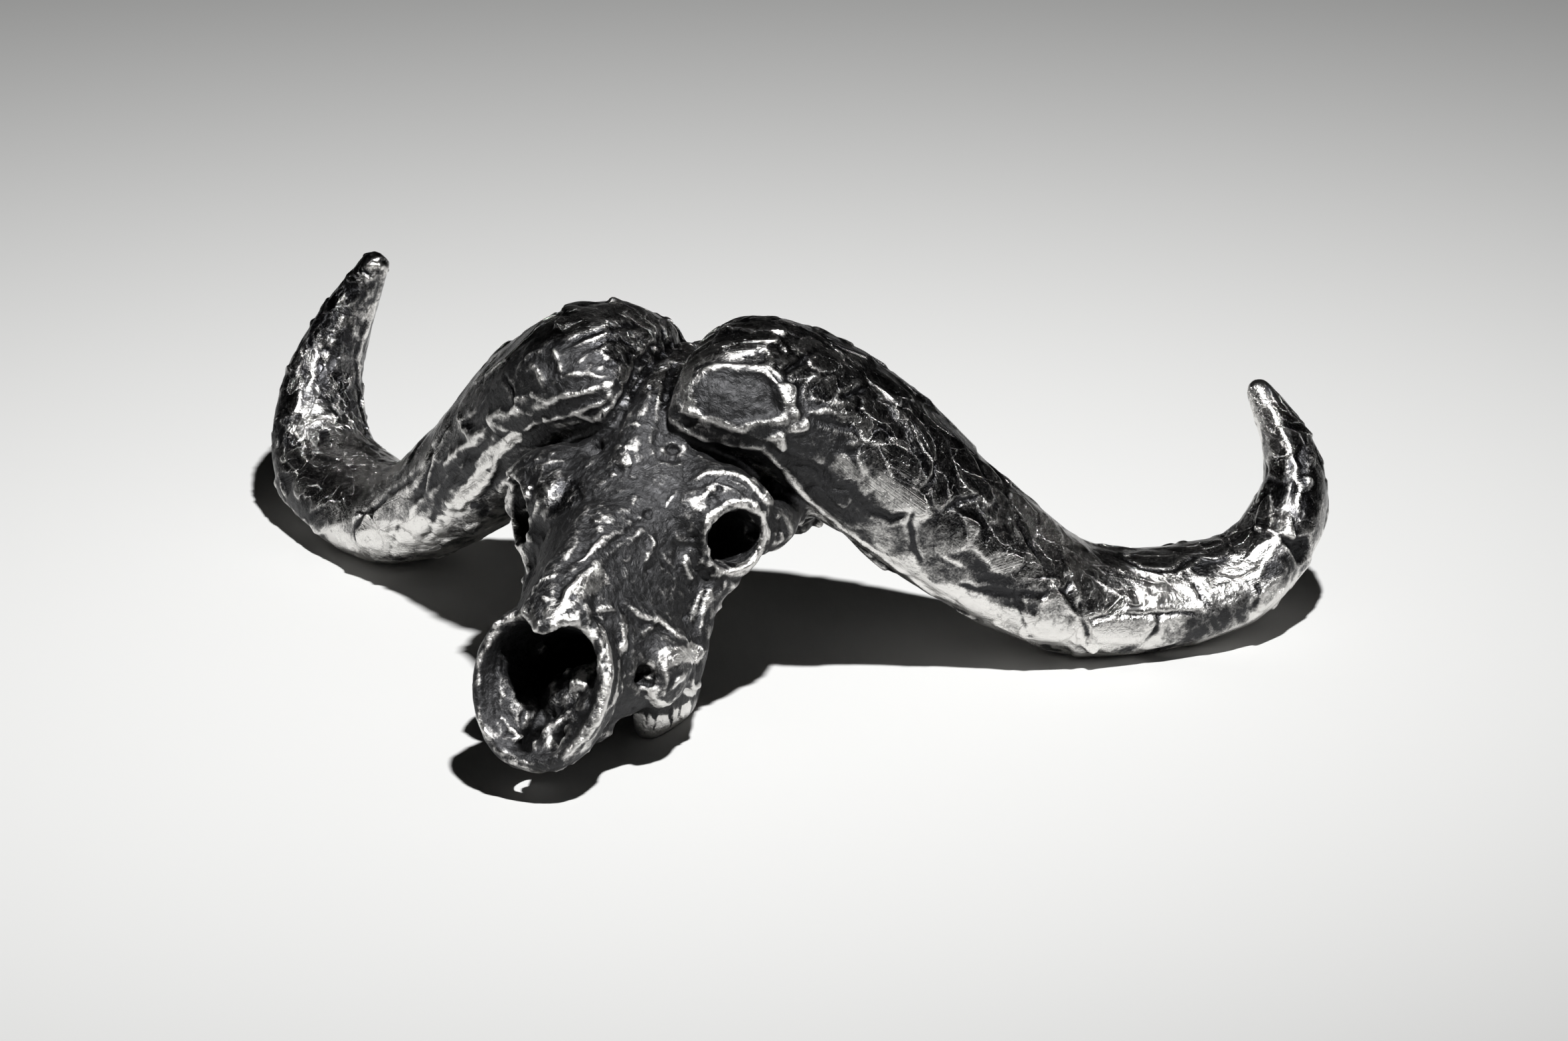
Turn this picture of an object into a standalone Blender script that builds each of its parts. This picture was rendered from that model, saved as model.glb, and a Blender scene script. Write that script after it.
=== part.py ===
"""Cape buffalo skull with its horns, cast in one piece of dark metal.

Design frame while modelling, in millimetres: x across the skull (the animal's left is +x), y from the
snout (-y) to the back of the head, z up from the table. The finished casting is moved once at the end,
so that its origin is the bottom centre of its box.
"""

import math

import bpy
import bmesh
import numpy as np
from mathutils import Matrix, Vector

MM = 0.001

# Clay fineness and the finished mesh
CLAY_VOXEL = 1.0
CLAY_SMOOTHING = 3
FINISH_TRIANGLES = 9600
RING_POINTS = 28
STEPS_PER_SPAN = 5

# Horn sections from the boss at the midline out to the tip: centre x, y, z, half extent front to back,
# half thickness, twist in degrees. The two horns were modelled by hand and differ a little.
NEAR_HORN = (
    (8.5, -9.5, 71.5, 27.0, 14.5, -3.0),
    (21.5, -5.5, 72.5, 29.5, 17.5, -8.0),
    (42.5, 3.5, 58.0, 25.5, 18.0, 2.0),
    (68.0, 14.5, 32.5, 20.0, 17.0, -1.0),
    (96.0, 29.0, 13.2, 18.5, 12.8, 4.0),
    (128.3, 52.5, 13.4, 17.0, 10.8, 9.0),
    (139.8, 70.3, 27.0, 13.5, 9.6, 16.0),
    (137.2, 80.0, 40.6, 10.2, 7.0, 9.0),
    (128.3, 83.0, 54.4, 4.4, 3.7, 0.0),
)
FAR_HORN = (
    (8.5, -9.5, 71.5, 27.0, 14.5, -3.0),
    (21.5, -5.5, 72.5, 29.5, 17.5, -8.0),
    (42.5, 3.5, 58.0, 25.5, 17.6, 2.0),
    (68.0, 14.5, 31.6, 19.5, 16.0, -1.0),
    (96.0, 29.0, 12.6, 18.0, 12.2, 4.0),
    (126.6, 52.5, 13.4, 17.0, 10.5, 9.0),
    (137.6, 70.5, 28.8, 13.5, 9.4, 16.0),
    (135.0, 80.0, 45.8, 10.4, 7.6, 9.0),
    (126.0, 83.0, 63.8, 4.8, 4.5, 0.0),
)
TIP_ROUNDING = 4.5
BOSS_ROUNDING = 3.5
# Near the midline the boss sections face straight across the skull
BOSS_SQUARE_STATIONS = 1.7

# Skull sections from the back of the head to behind the nostrils. Each is y, then half outline points
# (x, z) from the top middle round to the bottom middle.
SKULL_SECTIONS = (
    (24.0, ((0, 59), (8, 58), (14, 54), (17, 48), (17, 42), (15, 36), (11, 30), (6, 25), (0, 25))),
    (12.0, ((0, 67), (12, 65), (20, 59), (25, 51), (26, 42), (21, 34), (14, 28), (7, 22), (0, 22))),
    (-6.0, ((0, 73), (12, 70), (22, 63), (27, 55), (27, 46), (22, 36), (15, 26), (8, 19), (0, 19))),
    (-22.0, ((0, 74), (11, 70), (20, 63), (26, 57), (27, 48), (23, 38), (17, 26), (9, 16), (0, 16))),
    (-31.0, ((0, 72), (10, 67.5), (19, 61.5), (26, 57), (27, 50), (23, 39), (18, 26), (11, 14), (0, 15))),
    (-38.0, ((0, 68), (8, 67.5), (17, 65), (25, 60.5), (27, 52), (23, 40), (18, 27), (12, 13), (0, 14))),
    (-48.0, ((0, 63), (8, 62.5), (15, 60), (20.5, 54), (21, 44), (20, 34), (20, 22), (15, 11), (0, 12))),
    (-58.0, ((0, 59), (6, 58), (12, 54), (16, 46.5), (18.5, 37), (21, 28), (22, 17), (14, 10), (0, 12))),
    (-68.0, ((0, 55), (5, 54), (10, 49.5), (15, 42), (20, 34), (23.5, 26), (21, 14), (12, 10), (0, 12))),
    (-78.0, ((0, 51), (5, 50), (9, 46), (13, 40), (17, 33), (19.5, 25), (17, 16), (9, 11), (0, 12))),
    (-90.0, ((-1, 47), (4, 46.5), (8, 44), (11, 40), (14, 33), (15.5, 25), (13, 16), (7, 11), (-1, 11))),
)

# Nostril ring: a tilted oval, half outline (x, height on the ring's own plane) from the top round
RING_CENTRE = (-1.9, -99.0, 27.0)
RING_LEAN = 26.0
RING_OUTLINE = (
    (0, 17), (6, 18.8), (11.8, 18), (15.8, 12), (18, 4),
    (17.4, -4), (14.2, -11.5), (9.8, -17), (5.5, -19.5), (0, -20),
)
RING_LENGTH = 18.0
RING_WALL = 2.6
# The passage behind it, pointed below, and its sections as scale, depth behind the ring and drop
PASSAGE_OUTLINE = (
    (0, 15), (7, 15), (12, 11.5), (13.6, 6), (12.4, 1),
    (8.6, -3.5), (4.6, -7.5), (1.5, -10.5), (0, -11.5),
)
PASSAGE_SECTIONS = (
    (1.0, -2.0, 0.0), (1.0, 3.5, 0.3), (0.92, 8.0, 1.5),
    (0.8, 14.0, 3.0), (0.6, 24.0, 5.0), (0.35, 31.0, 6.5),
)

# Eye socket: centre, facing direction, rim and hole
SOCKET_CENTRE = (27.8, -45.0, 48.2)
SOCKET_FACING = (0.80, -0.60, 0.02)
SOCKET_RIM_RADIUS = 8.7
SOCKET_RIM_THICK = 1.5
SOCKET_HOLE_RADIUS = 7.6
SOCKET_DEPTH = 16.0
# The wall behind the rim, each as extra radius and depth
SOCKET_WALL = ((0.6, 0.0), (2.4, 4.0), (4.4, 9.0), (3.0, 16.0))

# Holes above the eyes, in the cheeks and through the palate
BROW_HOLE = (10.1, -41.0, 67.0)
BROW_HOLE_RADIUS = 2.5
CHEEK_HOLE = (16.6, -79.5, 25.0)
CHEEK_HOLE_RADIUS = 2.9
PALATE_SLOT = (4.2, -97.5, 10.0)
PALATE_SLOT_RADII = (2.1, 4.5, 9.0)

# Cheek teeth: row from front to back, each x, y, half width
TOOTH_ROW = (
    (9.8, -64.0, 3.0), (10.8, -59.5, 4.0), (12.2, -52.0, 4.4),
    (12.8, -46.0, 4.4), (12.6, -40.0, 4.0), (11.8, -35.0, 3.0),
)
TOOTH_TOP = 16.0

FLOOR_CUT = 60.0


def clear_scene():
    for obj in list(bpy.data.objects):
        bpy.data.objects.remove(obj, do_unlink=True)


def both_sides(point):
    """The point and its mirror image."""
    return [Vector(point), Vector((-point[0], point[1], point[2]))]


def frame_facing(direction):
    """Rotation that turns z to the direction."""
    return Vector(direction).normalized().to_track_quat("Z", "Y").to_matrix().to_4x4()


def blend(values, position):
    """Smooth curve through the values at whole positions, read at any position between."""
    last = len(values) - 1
    left = min(int(position), last - 1)
    t = position - left
    picks = [values[min(max(left + k, 0), last)] for k in (-1, 0, 1, 2)]
    before, start, end, after = [np.array(pick, float) for pick in picks]
    if left == 0:
        before = 2.0 * start - end
    if left == last - 1:
        after = 2.0 * end - start
    slope_in = 0.5 * (end - before)
    slope_out = 0.5 * (after - start)
    curve = (2 * t**3 - 3 * t**2 + 1) * start + (t**3 - 2 * t**2 + t) * slope_in
    return curve + (-2 * t**3 + 3 * t**2) * end + (t**3 - t**2) * slope_out


def skin(bm, rings):
    """Joins neighbouring rings of equal size with faces and closes both ends."""
    loops = [[bm.verts.new(point) for point in ring] for ring in rings]
    count = len(loops[0])
    for here, there in zip(loops, loops[1:]):
        for k in range(count):
            bm.faces.new((here[k], here[(k + 1) % count], there[(k + 1) % count], there[k]))
    bm.faces.new(loops[0])
    bm.faces.new(loops[-1])
    bmesh.ops.recalc_face_normals(bm, faces=bm.faces)


def object_from(bm, name, subdivide=0):
    """Turns a bmesh in millimetres into an object in metres, rounded by subdivision if asked."""
    mesh = bpy.data.meshes.new(name)
    bm.to_mesh(mesh)
    bm.free()
    mesh.transform(Matrix.Scale(MM, 4))
    obj = bpy.data.objects.new(name, mesh)
    bpy.context.scene.collection.objects.link(obj)
    if subdivide:
        rounding = obj.modifiers.new("rounding", "SUBSURF")
        rounding.levels = subdivide
        rounding.render_levels = subdivide
    return obj


def settle(obj):
    """Writes the object's modifiers into its mesh."""
    bpy.context.view_layer.update()
    graph = bpy.context.evaluated_depsgraph_get()
    mesh = bpy.data.meshes.new_from_object(obj.evaluated_get(graph))
    obj.modifiers.clear()
    obj.data = mesh
    return obj


def merge(parts, name):
    """Puts several objects into one mesh, without fusing their shells."""
    bm = bmesh.new()
    for part in parts:
        settle(part)
        part.data.transform(part.matrix_world)
        bm.from_mesh(part.data)
        bpy.data.objects.remove(part, do_unlink=True)
    mesh = bpy.data.meshes.new(name)
    bm.to_mesh(mesh)
    bm.free()
    obj = bpy.data.objects.new(name, mesh)
    bpy.context.scene.collection.objects.link(obj)
    return obj


def flipped(obj):
    """The object moved to the other side of the skull as its mirror image."""
    obj.data.transform(Matrix.Scale(-1.0, 4, Vector((1.0, 0.0, 0.0))))
    obj.data.flip_normals()
    return obj


def mirrored(obj):
    """A copy of the object on the other side of the skull."""
    copy = obj.copy()
    copy.data = obj.data.copy()
    bpy.context.scene.collection.objects.link(copy)
    return flipped(copy)


def ball(centre, radii, turn=(0.0, 0.0, 0.0), name="ball"):
    """An ellipsoid of clay; turn is in degrees about x, y and z."""
    bm = bmesh.new()
    bmesh.ops.create_uvsphere(bm, u_segments=28, v_segments=18, radius=1.0)
    angles = [math.radians(angle) for angle in turn]
    spin = Matrix.Rotation(angles[2], 4, "Z") @ Matrix.Rotation(angles[1], 4, "Y")
    spin = spin @ Matrix.Rotation(angles[0], 4, "X")
    size = Matrix.Diagonal((radii[0], radii[1], radii[2], 1.0))
    bmesh.ops.transform(bm, matrix=Matrix.Translation(centre) @ spin @ size, verts=bm.verts)
    return object_from(bm, name)


def tube(points, radii, name="tube", closed=False):
    """A round roll of clay along a smooth path, thinner or thicker by its radii."""
    curve = bpy.data.curves.new(name, "CURVE")
    curve.dimensions = "3D"
    curve.bevel_depth = MM
    curve.bevel_resolution = 4
    curve.resolution_u = 8
    curve.use_fill_caps = not closed
    path = curve.splines.new("NURBS")
    path.points.add(len(points) - 1)
    for node, point, radius in zip(path.points, points, radii):
        node.co = (point[0] * MM, point[1] * MM, point[2] * MM, 1.0)
        node.radius = radius
    path.order_u = 3
    path.use_endpoint_u = not closed
    path.use_cyclic_u = closed
    obj = bpy.data.objects.new(name, curve)
    bpy.context.scene.collection.objects.link(obj)
    bpy.context.view_layer.update()
    mesh = bpy.data.meshes.new_from_object(obj.evaluated_get(bpy.context.evaluated_depsgraph_get()))
    bpy.data.objects.remove(obj, do_unlink=True)
    solid = bpy.data.objects.new(name, mesh)
    bpy.context.scene.collection.objects.link(solid)
    return solid


def horn(stations):
    """One horn as a skin over its sections, rounded at the boss and at the tip."""
    centres = [station[:3] for station in stations]
    sizes = [station[3:] for station in stations]
    spans = len(stations) - 1
    steps = spans * STEPS_PER_SPAN
    rings = []
    for step in range(steps + 1):
        position = step / STEPS_PER_SPAN
        centre = Vector(blend(centres, position))
        ahead = Vector(blend(centres, min(position + 0.02, spans)))
        behind = Vector(blend(centres, max(position - 0.02, 0.0)))
        square = max(0.0, 1.0 - position / BOSS_SQUARE_STATIONS)
        along = (ahead - behind).normalized().lerp(Vector((1.0, 0.0, 0.0)), square).normalized()
        depth, thick, twist = blend(sizes, position)
        back = Vector((0.0, 1.0, 0.0)) - along * along.y
        back.normalize()
        up = along.cross(back)
        turn = math.radians(twist)
        wide = back * math.cos(turn) + up * math.sin(turn)
        tall = up * math.cos(turn) - back * math.sin(turn)
        rings.append((centre, along, wide * depth, tall * thick))
    first = rings[0]
    last = rings[-1]
    start = [dome(first, -BOSS_ROUNDING, share) for share in (1.0, 0.86, 0.6, 0.3)]
    end = [dome(last, TIP_ROUNDING, share) for share in (0.3, 0.6, 0.86, 1.0)]
    bm = bmesh.new()
    skin(bm, [outline(ring) for ring in start + rings + end])
    return object_from(bm, "horn")


def dome(ring, height, share):
    """The ring moved out along the horn and shrunk, as part of a rounded end."""
    centre, along, wide, tall = ring
    shrink = math.sqrt(max(1.0 - share * share, 0.01))
    return (centre + along * (height * share), along, wide * shrink, tall * shrink)


def outline(ring):
    centre, along, wide, tall = ring
    angles = [2.0 * math.pi * k / RING_POINTS for k in range(RING_POINTS)]
    return [centre + wide * math.cos(angle) + tall * math.sin(angle) for angle in angles]


def closed_outline(half):
    """A whole outline from the points of its right half, top to bottom."""
    return list(half) + [(-x, z) for x, z in reversed(half[1:-1])]


def skull_block():
    bm = bmesh.new()
    rings = [[Vector((x, y, z)) for x, z in closed_outline(half)] for y, half in SKULL_SECTIONS]
    skin(bm, rings)
    return object_from(bm, "skull_block", subdivide=2)


def ring_axes():
    lean = math.radians(RING_LEAN)
    up = Vector((0.0, math.sin(lean), math.cos(lean)))
    out = Vector((0.0, -math.cos(lean), math.sin(lean)))
    return up, out


def ring_section(scale, sink, shift, half=RING_OUTLINE):
    """An outline on the ring's plane, grown by scale, moved back by sink and up its plane by shift."""
    up, out = ring_axes()
    middle = Vector(RING_CENTRE) - out * sink + up * shift
    return [middle + Vector((x * scale, 0.0, 0.0)) + up * (s * scale) for x, s in closed_outline(half)]


def snout():
    bm = bmesh.new()
    stages = ((0.90, RING_LENGTH, 1.0), (0.96, 8.0, 0.5), (1.0, 1.5, 0.0), (0.97, 0.0, 0.0))
    skin(bm, [ring_section(scale, sink, shift) for scale, sink, shift in stages])
    return object_from(bm, "snout", subdivide=1)


def nasal_cutter():
    """The hollow behind the nostril ring: a wide dish that runs back into a narrower passage."""
    inset = 1.0 - RING_WALL / 18.0
    bm = bmesh.new()
    stages = ((inset, -6.0, 0.0), (inset, 0.0, 0.0), (0.78, 4.0, 1.0), (0.62, 5.5, 2.0))
    skin(bm, [ring_section(scale, sink, shift) for scale, sink, shift in stages])
    dish = object_from(bm, "dish", subdivide=1)
    bm = bmesh.new()
    skin(bm, [ring_section(scale, sink, shift, PASSAGE_OUTLINE) for scale, sink, shift in PASSAGE_SECTIONS])
    return [dish, object_from(bm, "passage", subdivide=1)]


def tooth_rows():
    parts = []
    for side in (1.0, -1.0):
        rings = []
        for x, y, half in TOOTH_ROW:
            outer = ((half, -1.5), (half + 0.8, 6.0), (half, TOOTH_TOP))
            inner = ((-half, TOOTH_TOP), (-half, 6.0), (-half, -1.5))
            rings.append([Vector((side * (x + dx), y, z)) for dx, z in outer + inner])
        bm = bmesh.new()
        skin(bm, rings)
        parts.append(object_from(bm, "teeth", subdivide=1))
    return parts


def socket_frame():
    return Matrix.Translation(SOCKET_CENTRE) @ frame_facing(SOCKET_FACING)


def circle(radius, sink, count):
    """Points round the socket's axis, sunk behind its rim."""
    angles = [2.0 * math.pi * k / count for k in range(count)]
    return [socket_frame() @ Vector((radius * math.cos(a), radius * math.sin(a), -sink)) for a in angles]


def socket_parts():
    """The goggle-shaped wall of one eye socket and the roll of clay round its rim."""
    bm = bmesh.new()
    skin(bm, [circle(SOCKET_RIM_RADIUS + grow, sink, RING_POINTS) for grow, sink in SOCKET_WALL])
    wall = object_from(bm, "socket_wall")
    rim = tube(circle(SOCKET_RIM_RADIUS, 0.0, 24), [SOCKET_RIM_THICK] * 24, "socket_rim", closed=True)
    return [wall, rim]


def socket_cutter():
    bm = bmesh.new()
    stages = ((1.0, -3.0), (1.0, 2.0), (0.95, 9.0), (0.7, SOCKET_DEPTH))
    skin(bm, [circle(SOCKET_HOLE_RADIUS * scale, sink, RING_POINTS) for scale, sink in stages])
    return object_from(bm, "socket_cutter")


def clay_lumps():
    """Everything on one side of the skull that is doubled on the other."""
    parts = socket_parts()
    parts.append(ball((24.0, -38.0, 57.5), (11.0, 8.0, 5.5), (0.0, 24.0, 0.0), "brow"))
    parts.append(ball((17.5, -44.0, 54.5), (8.0, 8.5, 6.5), (0.0, 20.0, 0.0), "bump"))
    strut = [(26, -41, 42), (21.5, -46, 36), (20.5, -52, 30), (21.5, -58, 22), (20.5, -62, 16)]
    parts.append(tube(strut, [6.0, 4.6, 4.2, 4.2, 4.5], "cheek_strut"))
    parts.append(ball((17.5, -70.0, 23.5), (7.8, 11.0, 10.0), (10.0, 0.0, 12.0), "cheek"))
    arch = [(30, -35, 46), (31, -24, 46), (29, -10, 44), (26, 6, 38)]
    parts.append(tube(arch, [7.0, 6.0, 6.0, 6.0], "arch"))
    parts.append(ball((26.5, 7.0, 37.0), (6.5, 8.5, 7.5), name="knob"))
    parts.append(tube([(18, 6, 40), (13, 14, 32), (10.5, 18, 26)], [6.0, 4.5, 3.5], "ear_spur"))
    parts.append(ball((6.5, 25.0, 33.0), (5.0, 6.0, 6.5), name="condyle"))
    wing = [(9, -26, 18), (7.5, -16, 17), (6.5, -4, 19), (5.5, 12, 25)]
    parts.append(tube(wing, [5.0, 3.5, 4.0, 5.0], "wing"))
    return parts


def midline_lumps():
    bridge = [(0, -46, 61), (0, -37, 66.5), (0, -28, 72), (0, -16, 75)]
    bridge += [(0, -2, 75.5), (0, 8, 73), (0, 20, 66)]
    far_nose = [(-2.5, -58, 55), (-2.8, -74, 49.5), (-2.8, -88, 44.2)]
    far_nose += [(-1.8, -97, 41.8), (-1.3, -99.5, 41.2)]
    near_nose = [(2.5, -58, 55), (2.5, -74, 49.5), (2.4, -88, 44.2)]
    near_nose += [(0.6, -97, 42), (-0.6, -99.5, 41.4)]
    parts = [
        tube(bridge, [5.0, 6.0, 5.5, 5.0, 5.0, 6.0, 8.0], "bridge"),
        tube(far_nose, [4.5, 4.5, 4.0, 2.2, 1.4], "far_nose"),
        tube(near_nose, [4.5, 4.5, 4.0, 2.4, 1.4], "near_nose"),
        ball((0.0, -90.0, 44.0), (8.5, 7.0, 2.6), (19.0, 0.0, 0.0), "nose_plate"),
        ball((0.0, 14.0, 52.0), (24.0, 18.0, 20.0), name="nape"),
    ]
    return parts


def cutters():
    parts = nasal_cutter()
    for centre, radius, facing in (
        (BROW_HOLE, BROW_HOLE_RADIUS, (0.15, -0.5, 0.85)),
        (CHEEK_HOLE, CHEEK_HOLE_RADIUS, (0.75, -0.6, 0.25)),
    ):
        for spot in both_sides(centre):
            side = 1.0 if spot.x > 0 else -1.0
            bm = bmesh.new()
            widths = {"radius1": radius * 0.7, "radius2": radius * 1.25}
            bmesh.ops.create_cone(bm, cap_ends=True, segments=16, depth=9.0, **widths)
            place = Matrix.Translation(spot) @ frame_facing((facing[0] * side, facing[1], facing[2]))
            bmesh.ops.transform(bm, matrix=place, verts=bm.verts)
            parts.append(object_from(bm, "hole"))
    for spot in both_sides(PALATE_SLOT):
        parts.append(ball(spot, PALATE_SLOT_RADII, name="palate_slot"))
    socket = socket_cutter()
    parts.append(mirrored(socket))
    parts.append(socket)
    parts.append(ball((0.0, 31.0, 34.0), (5.5, 9.0, 5.0), name="spine_hole"))
    return parts


def fused(obj, voxel, smoothing):
    remesh = obj.modifiers.new("fuse", "REMESH")
    remesh.mode = "VOXEL"
    remesh.voxel_size = voxel * MM
    remesh.adaptivity = 0.0
    soft = obj.modifiers.new("soft", "SMOOTH")
    soft.factor = 0.5
    soft.iterations = smoothing
    return settle(obj)


def helper_collection():
    collection = bpy.data.collections.new("cutters")
    bpy.context.scene.collection.children.link(collection)
    collection.hide_render = True
    return collection


def as_cutter(obj, collection):
    bpy.context.scene.collection.objects.unlink(obj)
    collection.objects.link(obj)
    obj.hide_render = True
    obj.display_type = "WIRE"


def cut(obj, cutter, name):
    hollow = obj.modifiers.new(name, "BOOLEAN")
    hollow.operation = "DIFFERENCE"
    hollow.solver = "EXACT"
    hollow.object = cutter
    return obj


def floor_block():
    """A block whose top is the table, to give the casting true flats where it rests."""
    bm = bmesh.new()
    bmesh.ops.create_cube(bm, size=1.0)
    size = Matrix.Diagonal((500.0, 500.0, FLOOR_CUT, 1.0))
    below = Matrix.Translation((0.0, 0.0, -FLOOR_CUT / 2.0))
    bmesh.ops.transform(bm, matrix=below @ size, verts=bm.verts)
    return object_from(bm, "floor_block")


def cast_metal():
    material = bpy.data.materials.new("cast_metal")
    material.use_nodes = True
    shader = material.node_tree.nodes["Principled BSDF"]
    shader.inputs["Base Color"].default_value = (0.16, 0.16, 0.165, 1.0)
    shader.inputs["Metallic"].default_value = 1.0
    shader.inputs["Roughness"].default_value = 0.34
    return material


def build():
    clear_scene()
    parts = [horn(NEAR_HORN), flipped(horn(FAR_HORN)), skull_block(), snout()]
    parts += midline_lumps()
    one_side = clay_lumps()
    parts += one_side + [mirrored(part) for part in one_side]
    parts += tooth_rows()
    clay = fused(merge(parts, "clay"), CLAY_VOXEL, CLAY_SMOOTHING)

    helpers = helper_collection()
    tools = fused(merge(cutters(), "hollows"), CLAY_VOXEL, 1)
    as_cutter(tools, helpers)
    cut(clay, tools, "hollows")
    settle(clay)
    fused(clay, CLAY_VOXEL, 2)

    thin = clay.modifiers.new("thin", "DECIMATE")
    thin.ratio = FINISH_TRIANGLES / (2.0 * len(clay.data.polygons))
    thin.use_collapse_triangulate = True
    settle(clay)

    block = floor_block()
    as_cutter(block, helpers)
    cut(clay, block, "flats")
    settle(clay)

    corners = np.array([vertex.co[:] for vertex in clay.data.vertices])
    low = corners.min(axis=0)
    high = corners.max(axis=0)
    middle = (low + high) / 2.0
    clay.data.transform(Matrix.Translation((-middle[0], -middle[1], -low[2])))
    for tool in (tools, block):
        tool.data.transform(Matrix.Translation((-middle[0], -middle[1], -low[2])))
    clay.name = "skull"
    clay.data.materials.clear()
    clay.data.materials.append(cast_metal())
    moved = [round(float(-value / MM), 2) for value in (middle[0], middle[1], low[2])]
    print("design frame moved by", moved)
    print("triangles", sum(len(face.vertices) - 2 for face in clay.data.polygons))


build()
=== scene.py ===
"""Buffalo skull with its horns, cast whole in dark patinated metal, on pale studio paper.

The surface is worked in the way of the clay that the metal was cast from. Thumb smears are laid over
one another along the horns, rims and ridges are pinched up, creases are pressed in and a comb is drawn
over some of the smears. The metal is then darkened all over and rubbed back where it stands out. Painted
reflection, highlight and shade are laid into its brightness too, on the horns' lower sides and at listed
places.
"""

import math
import random

import bpy
import numpy as np
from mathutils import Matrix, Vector
from mathutils.bvhtree import BVHTree


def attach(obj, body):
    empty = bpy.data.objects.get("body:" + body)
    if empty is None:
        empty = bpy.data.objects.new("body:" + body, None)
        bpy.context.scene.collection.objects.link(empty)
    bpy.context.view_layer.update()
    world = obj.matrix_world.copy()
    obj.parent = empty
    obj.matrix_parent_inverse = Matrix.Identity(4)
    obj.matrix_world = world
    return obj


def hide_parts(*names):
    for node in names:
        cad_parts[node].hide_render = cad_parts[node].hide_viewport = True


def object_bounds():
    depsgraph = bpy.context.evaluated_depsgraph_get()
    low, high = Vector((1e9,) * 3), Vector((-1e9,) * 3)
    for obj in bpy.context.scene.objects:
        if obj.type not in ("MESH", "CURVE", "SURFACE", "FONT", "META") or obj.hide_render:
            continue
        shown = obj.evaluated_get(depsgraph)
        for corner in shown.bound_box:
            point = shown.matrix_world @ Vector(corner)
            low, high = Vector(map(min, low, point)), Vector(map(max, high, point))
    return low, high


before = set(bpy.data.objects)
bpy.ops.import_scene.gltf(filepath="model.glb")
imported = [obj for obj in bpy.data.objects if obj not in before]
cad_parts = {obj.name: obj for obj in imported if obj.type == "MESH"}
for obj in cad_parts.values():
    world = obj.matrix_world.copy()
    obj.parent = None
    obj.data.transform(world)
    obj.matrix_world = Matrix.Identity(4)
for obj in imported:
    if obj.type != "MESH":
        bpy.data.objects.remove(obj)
cad_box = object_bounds()

MM = 0.001

# The horns' middle lines were drawn about the skull's own centre, which sits here in the part's frame, in mm
DRAWN_CENTRE = np.array((-1.32, 7.99, 0.0))

# Photograph: its size, and the camera that fits it, in mm and degrees
PHOTO_SIZE = (2361, 1568)
FOCAL_PIXELS = 5600.0
SENSOR_WIDTH = 36.0
LOOK_AT = np.array((28.1, -9.5, 40.0)) + DRAWN_CENTRE
CAMERA_DISTANCE = 928.0
CAMERA_TURN = 19.0
CAMERA_RISE = 21.0

# How far the paper reaches from below the camera's aim, in mm: towards the camera, to each side and away
PAPER_REACH = (260.0, 460.0, 1300.0)

# The lamp: its place, the point that it is aimed at and its width in mm, and its power in watts. The room
# gives almost no light of its own.
LAMP_PLACE = (214.0, -214.0, 725.0)
LAMP_AIM = (-1370.0, 1520.0, 0.0)
LAMP_WIDTH = 40.0
LAMP_POWER = 18.7
ROOM_LIGHT = 0.003

# Clay, in mm: the grain of its mesh, how far the marks may rise and sink, and how high the feet reach
CLAY_GRAIN = 0.55
MOST_RAISED = 1.5
MOST_SUNK = 2.8
FOOT_HEIGHT = 2.5

# How often values are averaged with their neighbours: for the way out at each point, and to tell what stands
# proud close by from what stands proud more widely
WAY_EVENING = 14
CLOSE_EVENING = 7
WIDE_EVENING = 60

# Pieces that the finished mesh is cut into. A horn's piece starts at a plane across the horn, given for the
# horn on the +X side by a point and the way along the horn, in mm from the skull's own centre, and a shift
# along it. It also stays this far from the middle of the part's frame, and close to the horn's middle line.
PIECE_NAMES = ("skull_face", "skull_near_horn", "skull_far_horn", "skull_crown")
CUT_PLACE = np.array((35.0, 0.0, 63.0))
CUT_WAY = np.array((0.78, 0.33, -0.54))
CUT_SHIFT = -8.0
CUT_FROM = 26.0
HORN_CLOSENESS = 0.3

# Where the head is cut from side to side, behind its hollows: y in the part's frame, in mm
HEAD_CUT = -21.0

# How deep the edge of a cut turns inwards before it is closed, in mm
LIP_DEPTH = 1.6

# Lumps of clay put on before the surface is worked, each as its middle in the part's frame and its radius in
# mm. The third is the dome of the brow on the photo's left, and the others lie low in the nasal hollow.
LUMPS = (
    ((1.5, -76.0, 16.5), 9.5),
    ((-11.0, -83.0, 16.0), 5.5),
    ((-18.8, -40.1, 53.0), 7.0),
    ((4.5, -77.0, 22.0), 6.5),
)

# Middle line of each horn from the boss to the tip: x, y, z and about half its thickness there
NEAR_HORN = (
    (8.5, -9.5, 71.5, 18), (21.5, -5.5, 72.5, 20), (42.5, 3.5, 58.0, 19), (68.0, 14.5, 32.5, 17),
    (96.0, 29.0, 13.2, 15), (128.3, 52.5, 13.4, 13), (139.8, 70.3, 27.0, 11), (137.2, 80.0, 40.6, 8),
    (128.3, 83.0, 54.4, 4),
)
FAR_HORN = (
    (-8.5, -9.5, 71.5, 18), (-21.5, -5.5, 72.5, 20), (-42.5, 3.5, 58.0, 19), (-68.0, 14.5, 31.6, 17),
    (-96.0, 29.0, 12.6, 15), (-126.6, 52.5, 13.4, 13), (-137.6, 70.5, 28.8, 11), (-135.0, 80.0, 45.8, 8),
    (-126.0, 83.0, 63.8, 5),
)
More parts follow.
